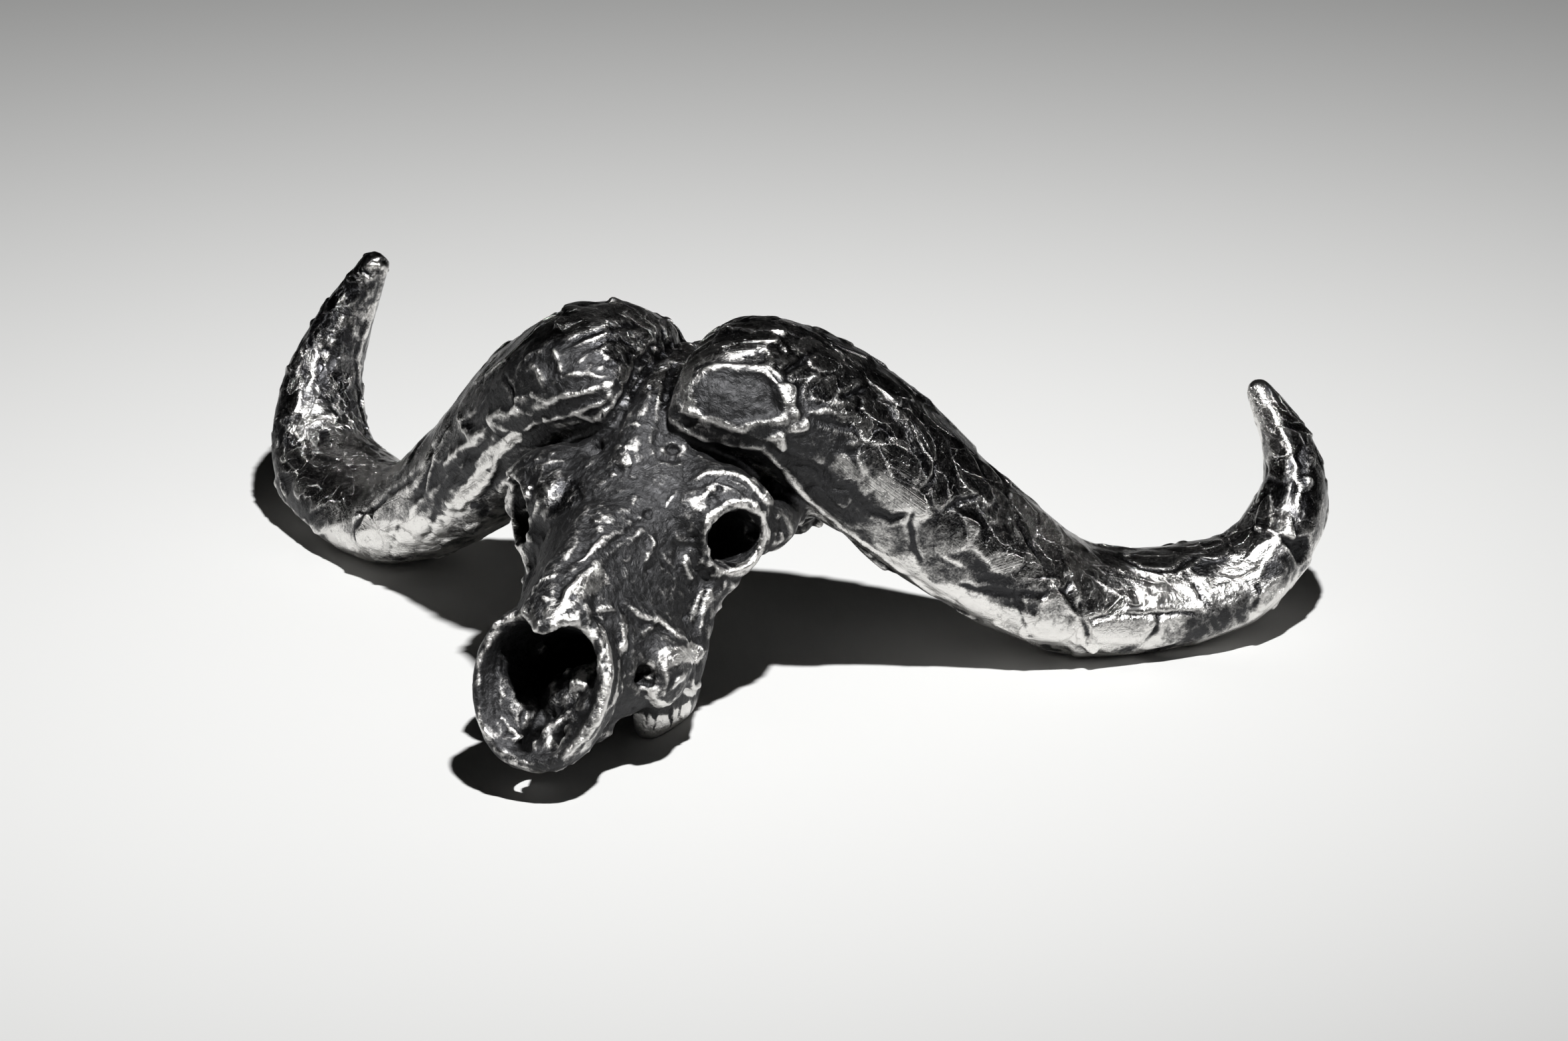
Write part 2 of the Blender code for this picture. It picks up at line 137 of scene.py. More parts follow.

# Folds read from the photograph, each as kind, height and width in mm, then points in its pixels.
# A ridge is pinched up, a crease is pressed in, and a step is a flap's edge, high on its left-hand side.
LEFT_BOSS = (
    ("ridge", 1.5, 1.5, ((925, 605), (912, 620), (892, 634), (870, 622), (840, 626), (810, 636), (785, 648))),
    ("ridge", 1.5, 1.6, ((785, 648), (770, 660), (755, 680), (744, 702), (736, 722), (716, 742), (690, 768))),
    ("crease", 1.4, 1.6, ((995, 502), (965, 540), (940, 585), (920, 630))),
    ("ridge", 0.8, 1.2, ((988, 500), (958, 540), (934, 582), (916, 612))),
    ("ridge", 1.1, 1.6, ((847, 570), (870, 562), (895, 566), (920, 570))),
    ("ridge", 1.3, 1.8, ((805, 615), (845, 597), (885, 588), (925, 580))),
    ("ridge", 1.0, 1.2, ((834, 525), (842, 550), (847, 572))),
    ("ridge", 1.2, 1.8, ((800, 543), (812, 565), (822, 585))),
    ("crease", 1.3, 1.4, ((757, 565), (770, 585), (779, 612))),
    ("ridge", 1.2, 1.3, ((868, 548), (890, 532), (908, 522))),
    ("ridge", 1.1, 1.3, ((900, 560), (915, 540), (938, 528), (946, 552))),
    ("crease", 1.2, 2.0, ((880, 548), (900, 545), (925, 548))),
    ("crease", 1.2, 2.4, ((850, 520), (900, 500), (960, 490))),
    ("step", 1.1, 5.0, ((830, 478), (880, 470))),
    ("ridge", 0.8, 1.0, ((873, 618), (892, 610), (914, 605))),
    ("ridge", 1.1, 1.6, ((735, 615), (742, 634), (768, 650))),
)
LEFT_FLANK = (
    ("ridge", 1.3, 2.0, ((690, 622), (697, 645), (716, 660), (728, 648))),
    ("crease", 1.6, 2.4, ((702, 628), (712, 642), (722, 636))),
    ("ridge", 1.3, 2.0, ((668, 702), (692, 676), (715, 664), (732, 652))),
    ("crease", 1.5, 2.4, ((680, 712), (700, 690), (722, 676))),
    ("ridge", 1.4, 2.0, ((676, 770), (690, 742), (716, 716), (742, 692))),
    ("crease", 1.4, 2.2, ((655, 760), (672, 730), (690, 712))),
    ("ridge", 1.0, 1.8, ((640, 740), (652, 700), (662, 668), (680, 640))),
    ("crease", 1.2, 1.8, ((628, 760), (642, 720), (652, 690))),
    ("ridge", 1.1, 1.8, ((612, 800), (622, 770), (640, 745))),
)
LEFT_HORN = (
    ("crease", 1.2, 1.6, ((534, 800), (550, 772), (585, 746), (620, 722), (640, 706))),
    ("ridge", 1.0, 1.8, ((540, 822), (545, 802), (562, 794), (580, 806), (600, 800))),
    ("crease", 1.2, 1.5, ((532, 836), (540, 812), (534, 800))),
    ("crease", 1.1, 1.5, ((585, 838), (592, 812), (600, 790))),
    ("crease", 1.1, 1.5, ((640, 815), (650, 792), (655, 770))),
    ("ridge", 1.0, 1.6, ((418, 712), (432, 752))),
    ("ridge", 0.9, 1.3, ((445, 670), (460, 695), (476, 704))),
    ("step", 1.0, 4.0, ((570, 440), (552, 490), (538, 535), (540, 585), (550, 640), (568, 672))),
    ("ridge", 0.9, 1.4, ((542, 412), (552, 396), (572, 388), (584, 396), (580, 412), (556, 420), (542, 412))),
    ("ridge", 0.9, 1.3, ((505, 470), (515, 450), (530, 432))),
    ("ridge", 1.0, 1.4, ((440, 560), (452, 535), (456, 520))),
    ("ridge", 1.0, 1.4, ((462, 592), (470, 570), (468, 556))),
    ("crease", 1.0, 2.0, ((480, 520), (500, 530), (498, 560))),
    ("ridge", 0.8, 1.4, ((470, 640), (490, 626), (505, 628))),
    ("ridge", 0.9, 1.2, ((480, 688), (515, 692), (540, 706), (570, 712))),
)
BRIDGE = (
    ("crease", 1.6, 2.0, ((1017, 545), (1004, 580), (998, 620), (1012, 648))),
    ("ridge", 0.4, 1.2, ((985, 560), (975, 590), (968, 625), (960, 650))),
    ("crease", 0.7, 1.4, ((992, 572), (984, 600), (978, 632))),
    ("ridge", 0.3, 1.0, ((1000, 545), (990, 580), (992, 610))),
)
RIGHT_BOSS = (
    ("ridge", 1.6, 1.6, ((1003, 622), (1018, 642), (1060, 660), (1105, 669), (1148, 674), (1178, 708))),
    ("ridge", 1.3, 1.6, ((1178, 708), (1218, 752), (1258, 788), (1310, 824), (1360, 860), (1410, 898))),
    ("crease", 1.8, 2.2, ((1160, 672), (1186, 690), (1234, 708), (1256, 735), (1286, 742))),
    ("crease", 1.7, 2.0, ((1286, 742), (1308, 766), (1344, 782), (1376, 772))),
    ("crease", 1.3, 1.4, ((1376, 770), (1372, 795), (1376, 826), (1392, 850))),
    ("step", 1.4, 6.0, (
        (1392, 730), (1404, 716), (1402, 696), (1390, 678), (1379, 652), (1360, 625), (1340, 608))),
    ("crease", 1.5, 1.8, ((1180, 562), (1204, 545), (1232, 520))),
    ("ridge", 0.8, 1.2, ((1237, 510), (1265, 530), (1300, 556))),
    ("ridge", 1.0, 1.3, ((1262, 592), (1278, 582), (1300, 572))),
    ("crease", 1.3, 1.6, ((1266, 600), (1285, 592), (1304, 584))),
    ("ridge", 1.1, 1.3, ((1276, 672), (1300, 664), (1330, 664), (1336, 682))),
    ("ridge", 0.9, 1.6, ((1215, 620), (1245, 618), (1290, 628), (1325, 650))),
    ("ridge", 0.8, 1.4, ((1220, 600), (1240, 606), (1275, 612), (1310, 622))),
    ("crease", 0.9, 1.6, ((1225, 632), (1260, 640), (1300, 652))),
    ("ridge", 0.9, 1.2, ((1176, 515), (1184, 528), (1188, 536))),
    ("ridge", 0.9, 1.4, ((1046, 532), (1056, 524), (1080, 520), (1100, 522))),
    ("ridge", 0.8, 1.0, ((1105, 492), (1130, 488), (1160, 490))),
    ("step", 1.3, 5.0, ((1478, 712), (1460, 680))),
)
RIGHT_HORN = (
    ("step", 1.2, 5.0, ((1577, 880), (1565, 850), (1540, 810), (1522, 775))),
    ("ridge", 1.1, 1.3, ((1482, 752), (1484, 772), (1494, 784), (1506, 782))),
    ("crease", 1.3, 1.8, ((1490, 752), (1498, 762), (1506, 770))),
    ("ridge", 0.9, 1.1, ((1520, 776), (1530, 795), (1541, 815))),
    ("ridge", 0.9, 1.1, ((1417, 834), (1432, 846), (1452, 851))),
    ("crease", 1.3, 1.6, ((1425, 764), (1450, 752), (1476, 748))),
    ("ridge", 0.8, 1.2, ((1575, 815), (1595, 826), (1620, 833))),
    ("step", 1.1, 4.0, ((1590, 790), (1555, 770), (1525, 740))),
    ("ridge", 1.4, 2.0, ((1608, 858), (1618, 884), (1622, 910))),
    ("crease", 1.0, 1.6, ((1680, 838), (1720, 858), (1765, 862), (1800, 836))),
    ("ridge", 0.8, 1.2, ((1690, 850), (1740, 868), (1790, 858), (1815, 838))),
    ("crease", 1.1, 1.5, ((1440, 882), (1500, 892), (1560, 894), (1600, 890), (1615, 872))),
    ("crease", 1.3, 1.4, ((1528, 890), (1540, 930), (1556, 962))),
    ("crease", 1.3, 1.4, ((1624, 902), (1632, 940), (1644, 965))),
    ("crease", 1.2, 1.4, ((1744, 925), (1738, 950), (1722, 968))),
    ("crease", 1.3, 1.4, ((1796, 876), (1818, 912), (1831, 948))),
    ("crease", 1.2, 1.4, ((1892, 878), (1898, 902))),
    ("crease", 1.0, 1.2, ((1640, 930), (1690, 926), (1745, 925), (1800, 922))),
    ("ridge", 1.0, 1.8, ((1903, 602), (1920, 626), (1935, 660), (1950, 700), (1955, 732), (1950, 768))),
    ("crease", 0.9, 1.6, ((1905, 720), (1930, 730))),
    ("ridge", 0.9, 1.4, ((1893, 878), (1900, 850), (1925, 812), (1942, 795))),
    ("ridge", 0.8, 1.2, ((1870, 850), (1895, 825), (1925, 805))),
)
FACE = (
    ("ridge", 1.0, 1.1, ((775, 712), (771, 740), (776, 785), (786, 810), (779, 826), (797, 860))),
    ("ridge", 0.8, 1.4, ((775, 712), (815, 700), (855, 696))),
    ("ridge", 0.8, 1.0, ((797, 728), (814, 758), (832, 772))),
    ("ridge", 0.7, 0.9, ((812, 722), (824, 742), (828, 756))),
    ("step", 1.0, 3.0, ((1036, 727), (1078, 714), (1116, 722), (1142, 750), (1156, 782))),
    ("crease", 1.0, 1.4, ((1040, 736), (1076, 724), (1110, 732), (1132, 752))),
    ("step", 0.9, 3.0, ((926, 796), (905, 812), (880, 836), (856, 852))),
    ("step", 0.8, 2.4, ((846, 862), (822, 872), (804, 884), (786, 918))),
    ("ridge", 0.6, 0.9, ((960, 742), (952, 764), (938, 782))),
    ("crease", 1.3, 1.6, ((970, 786), (925, 816), (880, 856), (846, 884), (836, 915))),
    ("ridge", 1.3, 2.0, ((905, 850), (880, 868), (858, 888), (846, 905))),
    ("ridge", 0.9, 1.2, ((790, 925), (810, 950))),
    ("ridge", 1.0, 1.2, ((826, 948), (836, 935), (870, 922), (905, 917), (930, 919))),
    ("step", 1.3, 4.0, ((930, 905), (960, 930), (990, 940), (1020, 960), (1047, 986))),
    ("ridge", 0.8, 1.0, ((966, 958), (976, 945), (990, 935))),
    ("ridge", 0.9, 1.4, ((1015, 948), (1038, 962), (1047, 992), (1036, 1012))),
    ("ridge", 0.8, 1.0, ((992, 985), (1010, 982), (1030, 978))),
    ("ridge", 0.8, 1.0, ((984, 996), (982, 1014), (976, 1030))),
    ("ridge", 1.0, 1.5, ((932, 920), (938, 965), (928, 1030), (915, 1072))),
    ("crease", 0.9, 1.1, ((944, 930), (948, 970), (940, 1030))),
    ("ridge", 0.9, 1.6, ((1096, 838), (1070, 866), (1054, 896), (1040, 928))),
    ("ridge", 0.7, 1.0, ((1084, 866), (1070, 892), (1058, 926), (1052, 960))),
    ("crease", 0.7, 1.0, ((1078, 856), (1062, 884), (1048, 916))),
    ("ridge", 0.8, 1.0, ((1068, 826), (1050, 850), (1040, 872))),
    ("ridge", 1.0, 1.6, ((1058, 752), (1070, 738), (1086, 736))),
    ("crease", 1.2, 1.8, ((948, 778), (962, 790), (978, 792))),
    ("ridge", 0.8, 1.0, ((975, 800), (985, 815), (980, 835), (966, 850))),
    ("ridge", 0.7, 0.9, ((1000, 770), (1010, 752), (1022, 740))),
    ("crease", 0.9, 1.2, ((985, 826), (1000, 850), (1020, 868))),
    ("ridge", 0.7, 0.9, ((900, 770), (910, 780), (920, 772))),
    ("crease", 0.9, 1.2, ((1020, 880), (1034, 896), (1030, 912))),
    ("ridge", 0.9, 1.0, (
        (1062, 812), (1064, 788), (1076, 767), (1100, 756), (1130, 757), (1150, 774), (1158, 805))),
    ("ridge", 0.9, 1.0, ((1158, 805), (1150, 835), (1128, 852), (1100, 858), (1078, 846), (1066, 826))),
    ("ridge", 0.6, 1.4, (
        (903, 940), (916, 972), (922, 1010), (915, 1050), (900, 1085), (878, 1115), (850, 1138))),
    ("ridge", 0.5, 1.4, (
        (742, 950), (725, 990), (719, 1040), (724, 1090), (745, 1128), (780, 1146), (820, 1152))),
    ("crease", 0.9, 1.0, ((752, 985), (745, 1030), (750, 1080), (768, 1112))),
    ("ridge", 0.7, 0.9, ((935, 1046), (932, 1020), (938, 1000), (950, 985))),
    ("ridge", 0.7, 0.9, ((986, 940), (975, 955), (962, 972))),
    ("step", 1.0, 2.6, ((1036, 1012), (1018, 1022), (1004, 1044))),
    ("ridge", 0.6, 0.9, ((1000, 1005), (1004, 1030), (1000, 1050))),
    ("ridge", 0.7, 0.9, ((876, 1010), (868, 1050), (866, 1090))),
    ("step", 1.0, 2.3, ((1009, 1066), (1011, 1088))),
    ("step", 1.0, 2.3, ((1022, 1066), (1024, 1088))),
)

# Smears seen in the photograph: middle in its pixels, the end that the thumb ran towards, half width and
# lift in mm, and how strongly a comb was drawn along it
PHOTO_SMEARS = (
    (1340, 740, 1392, 778, 4.6, 1.3, 1.0),
    (1264, 700, 1290, 724, 3.8, 1.0, 1.0),
    (1420, 800, 1450, 835, 6.5, 0.9, 0.3),
    (1352, 690, 1385, 712, 4.0, 0.9, 0.6),
    (1310, 560, 1372, 600, 5.5, 1.0, 0.3),
    (1130, 488, 1180, 498, 5.0, 0.7, 0.3),
    (1585, 950, 1540, 944, 5.3, 1.5, 0.5),
    (1690, 952, 1640, 952, 4.6, 1.4, 0.4),
    (1785, 950, 1738, 956, 4.8, 1.4, 0.5),
    (1765, 902, 1735, 905, 4.4, 1.5, 0.2),
    (1855, 898, 1812, 905, 5.0, 1.2, 0.2),
    (1925, 890, 1895, 905, 4.6, 1.2, 0.5),
    (1488, 922, 1444, 905, 4.8, 1.2, 0.3),
    (862, 505, 915, 490, 6.0, 0.8, 0.2),
    (880, 600, 925, 590, 3.6, 0.9, 0.3),
    (560, 812, 538, 806, 4.0, 1.3, 0.3),
    (610, 812, 590, 806, 4.2, 1.3, 0.3),
    (665, 800, 645, 796, 4.0, 1.2, 0.4),
    (600, 770, 560, 790, 4.5, 1.0, 0.5),
    (895, 610, 874, 618, 1.8, 0.7, 0.4),
    (846, 742, 852, 775, 5.0, 0.3, 0.0),
    (1025, 968, 1040, 990, 3.0, 0.8, 0.8),
)

# Places rubbed brighter or left darker than what lies about them, read from the photograph: from one
# pixel to another, then half width in mm and how much brighter. Some are wear and patina, others painted
# light: painted reflection of the lit paper on the teeth and the near horn's low flank, a painted highlight
# on the nose, and painted shade on the nostril ring's left and lower side.
WEAR_AND_LIGHT_SPOTS = (
    (966, 1096, 1030, 1078, 3.6, 1.5),
    (976, 1070, 974, 1090, 0.5, -1.3),
    (988, 1068, 986, 1098, 0.6, -1.3),
    (999, 1066, 998, 1088, 0.5, -1.3),
    (1010, 1064, 1009, 1094, 0.7, -1.3),
    (1024, 1060, 1023, 1078, 0.5, -1.3),
    (962, 1070, 1034, 1056, 0.7, -1.0),
    (925, 1050, 1000, 1064, 1.6, 1.0),
    (1000, 1064, 1048, 1036, 1.5, 1.1),
    (1008, 990, 1045, 984, 2.4, 1.1),
    (980, 1000, 984, 1020, 1.0, 0.6),
    (1040, 925, 1062, 900, 2.2, 0.5),
    (832, 920, 905, 868, 2.2, 0.7),
    (850, 935, 905, 925, 1.5, 0.4),
    (1052, 758, 1080, 748, 2.0, 0.3),
    (975, 560, 965, 650, 3.0, -0.25),
    (735, 1100, 790, 1160, 1.6, 0.3),
    (915, 1060, 880, 1130, 1.6, 0.4),
    (940, 930, 930, 1020, 1.2, 0.4),
    (1036, 556, 1042, 618, 2.2, 0.8),
    (1052, 546, 1110, 540, 1.8, 0.4),
    (1118, 545, 1150, 552, 1.6, 0.2),
    (1050, 632, 1100, 642, 1.6, 0.3),
    (1185, 640, 1200, 590, 3.2, 0.2),
    (1020, 644, 1120, 664, 1.2, 0.3),
    (1180, 708, 1258, 788, 1.8, 0.7),
    (1258, 792, 1400, 884, 2.4, 0.9),
    (1200, 690, 1300, 770, 4.0, -0.25),
    (1330, 735, 1385, 772, 3.4, 0.5),
    (1270, 700, 1300, 730, 2.6, 0.5),
    (1415, 890, 1480, 925, 3.0, 0.4),
    (1480, 925, 1600, 960, 6.0, 0.4),
    (1640, 950, 1760, 955, 5.0, 0.4),
    (1730, 905, 1780, 900, 4.0, 0.5),
    (1800, 900, 1930, 870, 4.0, 0.3),
    (1190, 690, 1250, 745, 2.6, -0.4),
    (1080, 590, 1150, 600, 4.6, -0.6),
    (840, 640, 905, 620, 1.2, 0.5),
    (720, 700, 780, 655, 1.6, 0.7),
    (688, 770, 730, 712, 2.2, 0.7),
    (640, 760, 700, 690, 5.0, -0.3),
    (560, 815, 650, 800, 5.0, 0.4),
    (495, 805, 545, 830, 3.5, 0.3),
    (775, 720, 772, 800, 0.9, 0.7),
    (782, 822, 795, 860, 1.2, 0.7),
    (906, 945, 922, 1010, 1.3, 0.6),
    (922, 1010, 900, 1085, 1.3, 0.35),
    (900, 1085, 850, 1138, 1.1, 0.25),
    (728, 985, 720, 1050, 2.2, -0.45),
    (720, 1050, 746, 1125, 2.2, -0.45),
    (746, 1125, 830, 1150, 2.2, -0.45),
    (850, 1138, 895, 1090, 2.0, -0.25),
    (850, 1075, 880, 1020, 2.4, 0.4),
    (1100, 756, 1150, 774, 0.8, 0.7),
    (1150, 774, 1158, 805, 0.8, 0.8),
    (1158, 805, 1128, 852, 0.8, 0.7),
    (1128, 852, 1078, 846, 0.8, 0.5),
    (1062, 800, 1076, 767, 0.9, 0.6),
    (800, 925, 806, 945, 1.2, 0.4),
)

# Places smoothed by the thumb before the marks on them were made: from one pixel to another, then half width
# in mm and how much of the unevenness was taken away
SMOOTHED_SPOTS = (
    (838, 742, 842, 744, 5.5, 0.9),
    (775, 715, 772, 800, 4.0, 0.7),
    (772, 800, 795, 860, 3.0, 0.6),
    (1078, 768, 1115, 755, 3.0, 0.75),
    (1115, 755, 1150, 778, 3.0, 0.75),
    (1150, 778, 1156, 815, 3.0, 0.75),
    (1156, 815, 1128, 852, 3.0, 0.75),
    (1128, 852, 1080, 850, 3.0, 0.75),
    (1080, 850, 1062, 800, 2.4, 0.6),
    (746, 962, 722, 1050, 3.0, 0.75),
    (716, 1050, 745, 1130, 3.0, 0.75),
    (745, 1130, 830, 1152, 3.0, 0.75),
    (830, 1152, 900, 1090, 3.0, 0.75),
    (900, 1090, 926, 1000, 3.0, 0.75),
    (926, 1000, 908, 935, 3.0, 0.7),
    (960, 960, 1030, 1010, 6.0, 0.7),
    (950, 1040, 1040, 1045, 3.0, 0.6),
    (1092, 868, 1052, 985, 3.6, 0.6),
    (968, 1088, 1028, 1080, 3.6, 0.8),
    (832, 920, 905, 868, 3.2, 0.75),
    (915, 468, 955, 468, 9.0, 0.95),
    (785, 735, 783, 815, 3.5, 0.7),
    (800, 930, 812, 945, 3.0, 0.5),
    (1888, 600, 1902, 660, 7.0, 0.85),
    (575, 400, 560, 480, 6.0, 0.4),
)

# Pits seen in the photograph: middle in its pixels, then half width and depth in mm
PHOTO_PITS = ((895, 680, 2.6, 1.8), (1012, 678, 1.5, 1.6), (975, 775, 1.3, 1.0), (1032, 930, 1.0, 0.9))

# The pressed oval at the front of the right-hand boss: middle and end of its long half in the photograph,
# then half width, depth and rim height in mm
PRESSED_OVAL = (1112, 597, 1178, 604, 6.3, 1.8, 1.0)

# How firmly each kind of fold was worked against the heights above, and how wide against the widths
FOLD_STRENGTH = {"ridge": 1.0, "crease": 0.6, "step": 1.1}
FOLD_WIDTH = 0.8

# A fold is left out if two of its neighbouring points lie further apart than this, in mm
LONGEST_FOLD_STEP = 16.0

# How high the smears seen in the photograph were lifted against the lifts above
SMEAR_STRENGTH = 0.7

# A named place whose ends lie further apart than this, in mm, has one of them far behind, and is left out
LONGEST_PLACE = 40.0

# A point this far out from the surface, in mm, lies clear of the skull
CLEAR_OF_SKULL = 40.0

# A smear that covers fewer points than this is left out
FEWEST_POINTS = 12

# Smears laid by chance over the horns: how many, their seed, and the half widths in mm of the first and last.
# The far horn is worked over once more from its flank to its tip, in small smears.
HORN_SMEARS = (
    (NEAR_HORN, 380, 5, 7.5, 2.6),
    (FAR_HORN, 380, 6, 7.5, 2.6),
    (FAR_HORN[3:], 340, 9, 3.4, 1.6),
)

# Dabs laid by chance over the head: how many, their seed, the half lengths in mm of the first and last, the
# least and most lift of their ends, and the edge pushed up there
HEAD_DABS = (
    (900, 7, (9.0, 3.0), (-0.3, 0.7), 0.08),
    (500, 8, (2.8, 1.5), (0.0, 0.6), 0.15),
    (700, 12, (1.8, 1.0), (0.0, 0.5), 0.2),
)
HEAD_PITS = 60
HEAD_PITS_SEED = 10
PHOTO_SMEARS_SEED = 11

# The box that holds the head, in the part's frame in mm, and the places inside it that the dabs are aimed
# from, in mm from the skull's own centre
HEAD_LOW = np.array((-32.0, -108.0, 2.0)) + DRAWN_CENTRE
HEAD_HIGH = np.array((32.0, 34.0, 84.0)) + DRAWN_CENTRE
HEAD_MIDDLES = np.array(((0.0, -30.0, 50.0), (0.0, 5.0, 50.0), (0.0, -62.0, 34.0), (0.0, -86.0, 26.0)))

# How bright the cloth rubbed the head, and each horn along its low side and at its tip. On the low side
# this is painted reflection of the lit paper as well as rubbing. The last value is how far it kept to the
# lower edge between the boss and the bend.
HEAD_RUBBING = 0.08
HORN_WEAR_AND_LIGHT = ((NEAR_HORN, 0.75, 0.40, 0.32), (FAR_HORN, 0.36, 0.24, 0.05))

# Steps along a horn in which its rubbing is laid on
HORN_STEPS = 48

# How much a rubbed place is waxed at most, and from which smoothing on a smoothed place is waxed as well
SPOT_WAX = 0.7
WAXED_FROM = 0.8

# Patterns in the metal, each as the number of its marks in a metre: blotches of patina about 7 mm across,
# chips of about 3 mm, flakes of about 2 mm and grain of about 0.6 mm
BLOTCHES = 150.0
CHIPS = 300.0
FLAKES = 480.0
GRAIN = 1700.0

# Comb lines in a millimetre, and how deep the bump makes chips and flakes, and scratches and grain, in metres
COMB_LINES = 2.0
CHIP_DEPTH = 0.0006
SCRATCH_DEPTH = 0.0002

# Patina on the head and under the wax of the horns, the metal rubbed bright, and the paper
DRY_PATINA = "#3f3f40"
WAXED_PATINA = "#333335"
BRIGHT_METAL = "#edebe8"
GREY_PAPER = "#c0c0bf"


def colour(hex_code):
    """A colour written as sRGB hex, turned to the linear values that the shader takes."""
    channels = [int(hex_code[k:k + 2], 16) / 255.0 for k in (1, 3, 5)]
    linear = [c / 12.92 if c <= 0.04045 else ((c + 0.055) / 1.055) ** 2.4 for c in channels]
    return (*linear, 1.0)


def unit(vector):
    return vector / max(np.linalg.norm(vector), 1e-9)


def smooth_step(values):
    t = np.clip(values, 0.0, 1.0)
    return t * t * (3.0 - 2.0 * t)


def lattice_noise(points, size, seed):
    """Smooth random values from -1 to 1 over space, with grains of about that size in mm."""
    scaled = points / size
    corner = np.floor(scaled).astype(np.int64)
    t = scaled - corner
    t = t * t * (3.0 - 2.0 * t)
    table = np.random.default_rng(seed).uniform(-1.0, 1.0, 8192)
    total = np.zeros(len(points))
    for dx in (0, 1):
        for dy in (0, 1):
            for dz in (0, 1):
                cell = corner + (dx, dy, dz)
                key = cell[:, 0] * 73856093 ^ cell[:, 1] * 19349663 ^ cell[:, 2] * 83492791
                part = np.abs(t - (1.0 - np.array((dx, dy, dz))))
                total += table[key % 8192] * part.prod(axis=1)
    return total


def deselect_all():
    bpy.ops.object.select_all(action="DESELECT")


def take(piece):
    """Makes the piece the only selected object."""
    deselect_all()
    piece.select_set(True)
    bpy.context.view_layer.objects.active = piece


def finish_with(piece, kind, **settings):
    """Adds a modifier with its settings and applies it."""
    take(piece)
    modifier = piece.modifiers.new(kind.lower(), kind)
    for name, value in settings.items():
        setattr(modifier, name, value)
    bpy.ops.object.modifier_apply(modifier=modifier.name)


def read_vectors(items, name, kind=np.float64):
    """One vector for each item, such as each vertex's place, as the rows of an array."""
    values = np.empty(len(items) * 3, kind)
    items.foreach_get(name, values)
    return values.reshape(-1, 3)


def store(mesh, name, values):
    layer = mesh.attributes.new(name, "FLOAT", "POINT")
    layer.data.foreach_set("value", np.ascontiguousarray(values, dtype=np.float32))


# Camera

def camera_axes():
    """Where the camera stands, and its right, up and backward directions."""
    turn = math.radians(CAMERA_TURN)
    rise = math.radians(CAMERA_RISE)
    back = np.array((math.sin(turn) * math.cos(rise), -math.cos(turn) * math.cos(rise), math.sin(rise)))
    right = np.array((math.cos(turn), math.sin(turn), 0.0))
    return LOOK_AT + back * CAMERA_DISTANCE, right, np.cross(back, right), back


def add_camera():
    place = camera_axes()[0]
    rotation = (math.radians(90.0 - CAMERA_RISE), 0.0, math.radians(CAMERA_TURN))
    bpy.ops.object.camera_add(location=tuple(place * MM), rotation=rotation)
    camera = bpy.context.object
    camera.name = "photo_camera"
    camera.data.sensor_width = SENSOR_WIDTH
    camera.data.lens = SENSOR_WIDTH * FOCAL_PIXELS / PHOTO_SIZE[0]
    camera.data.clip_start = 0.01
    bpy.context.scene.camera = camera


# Working the clay

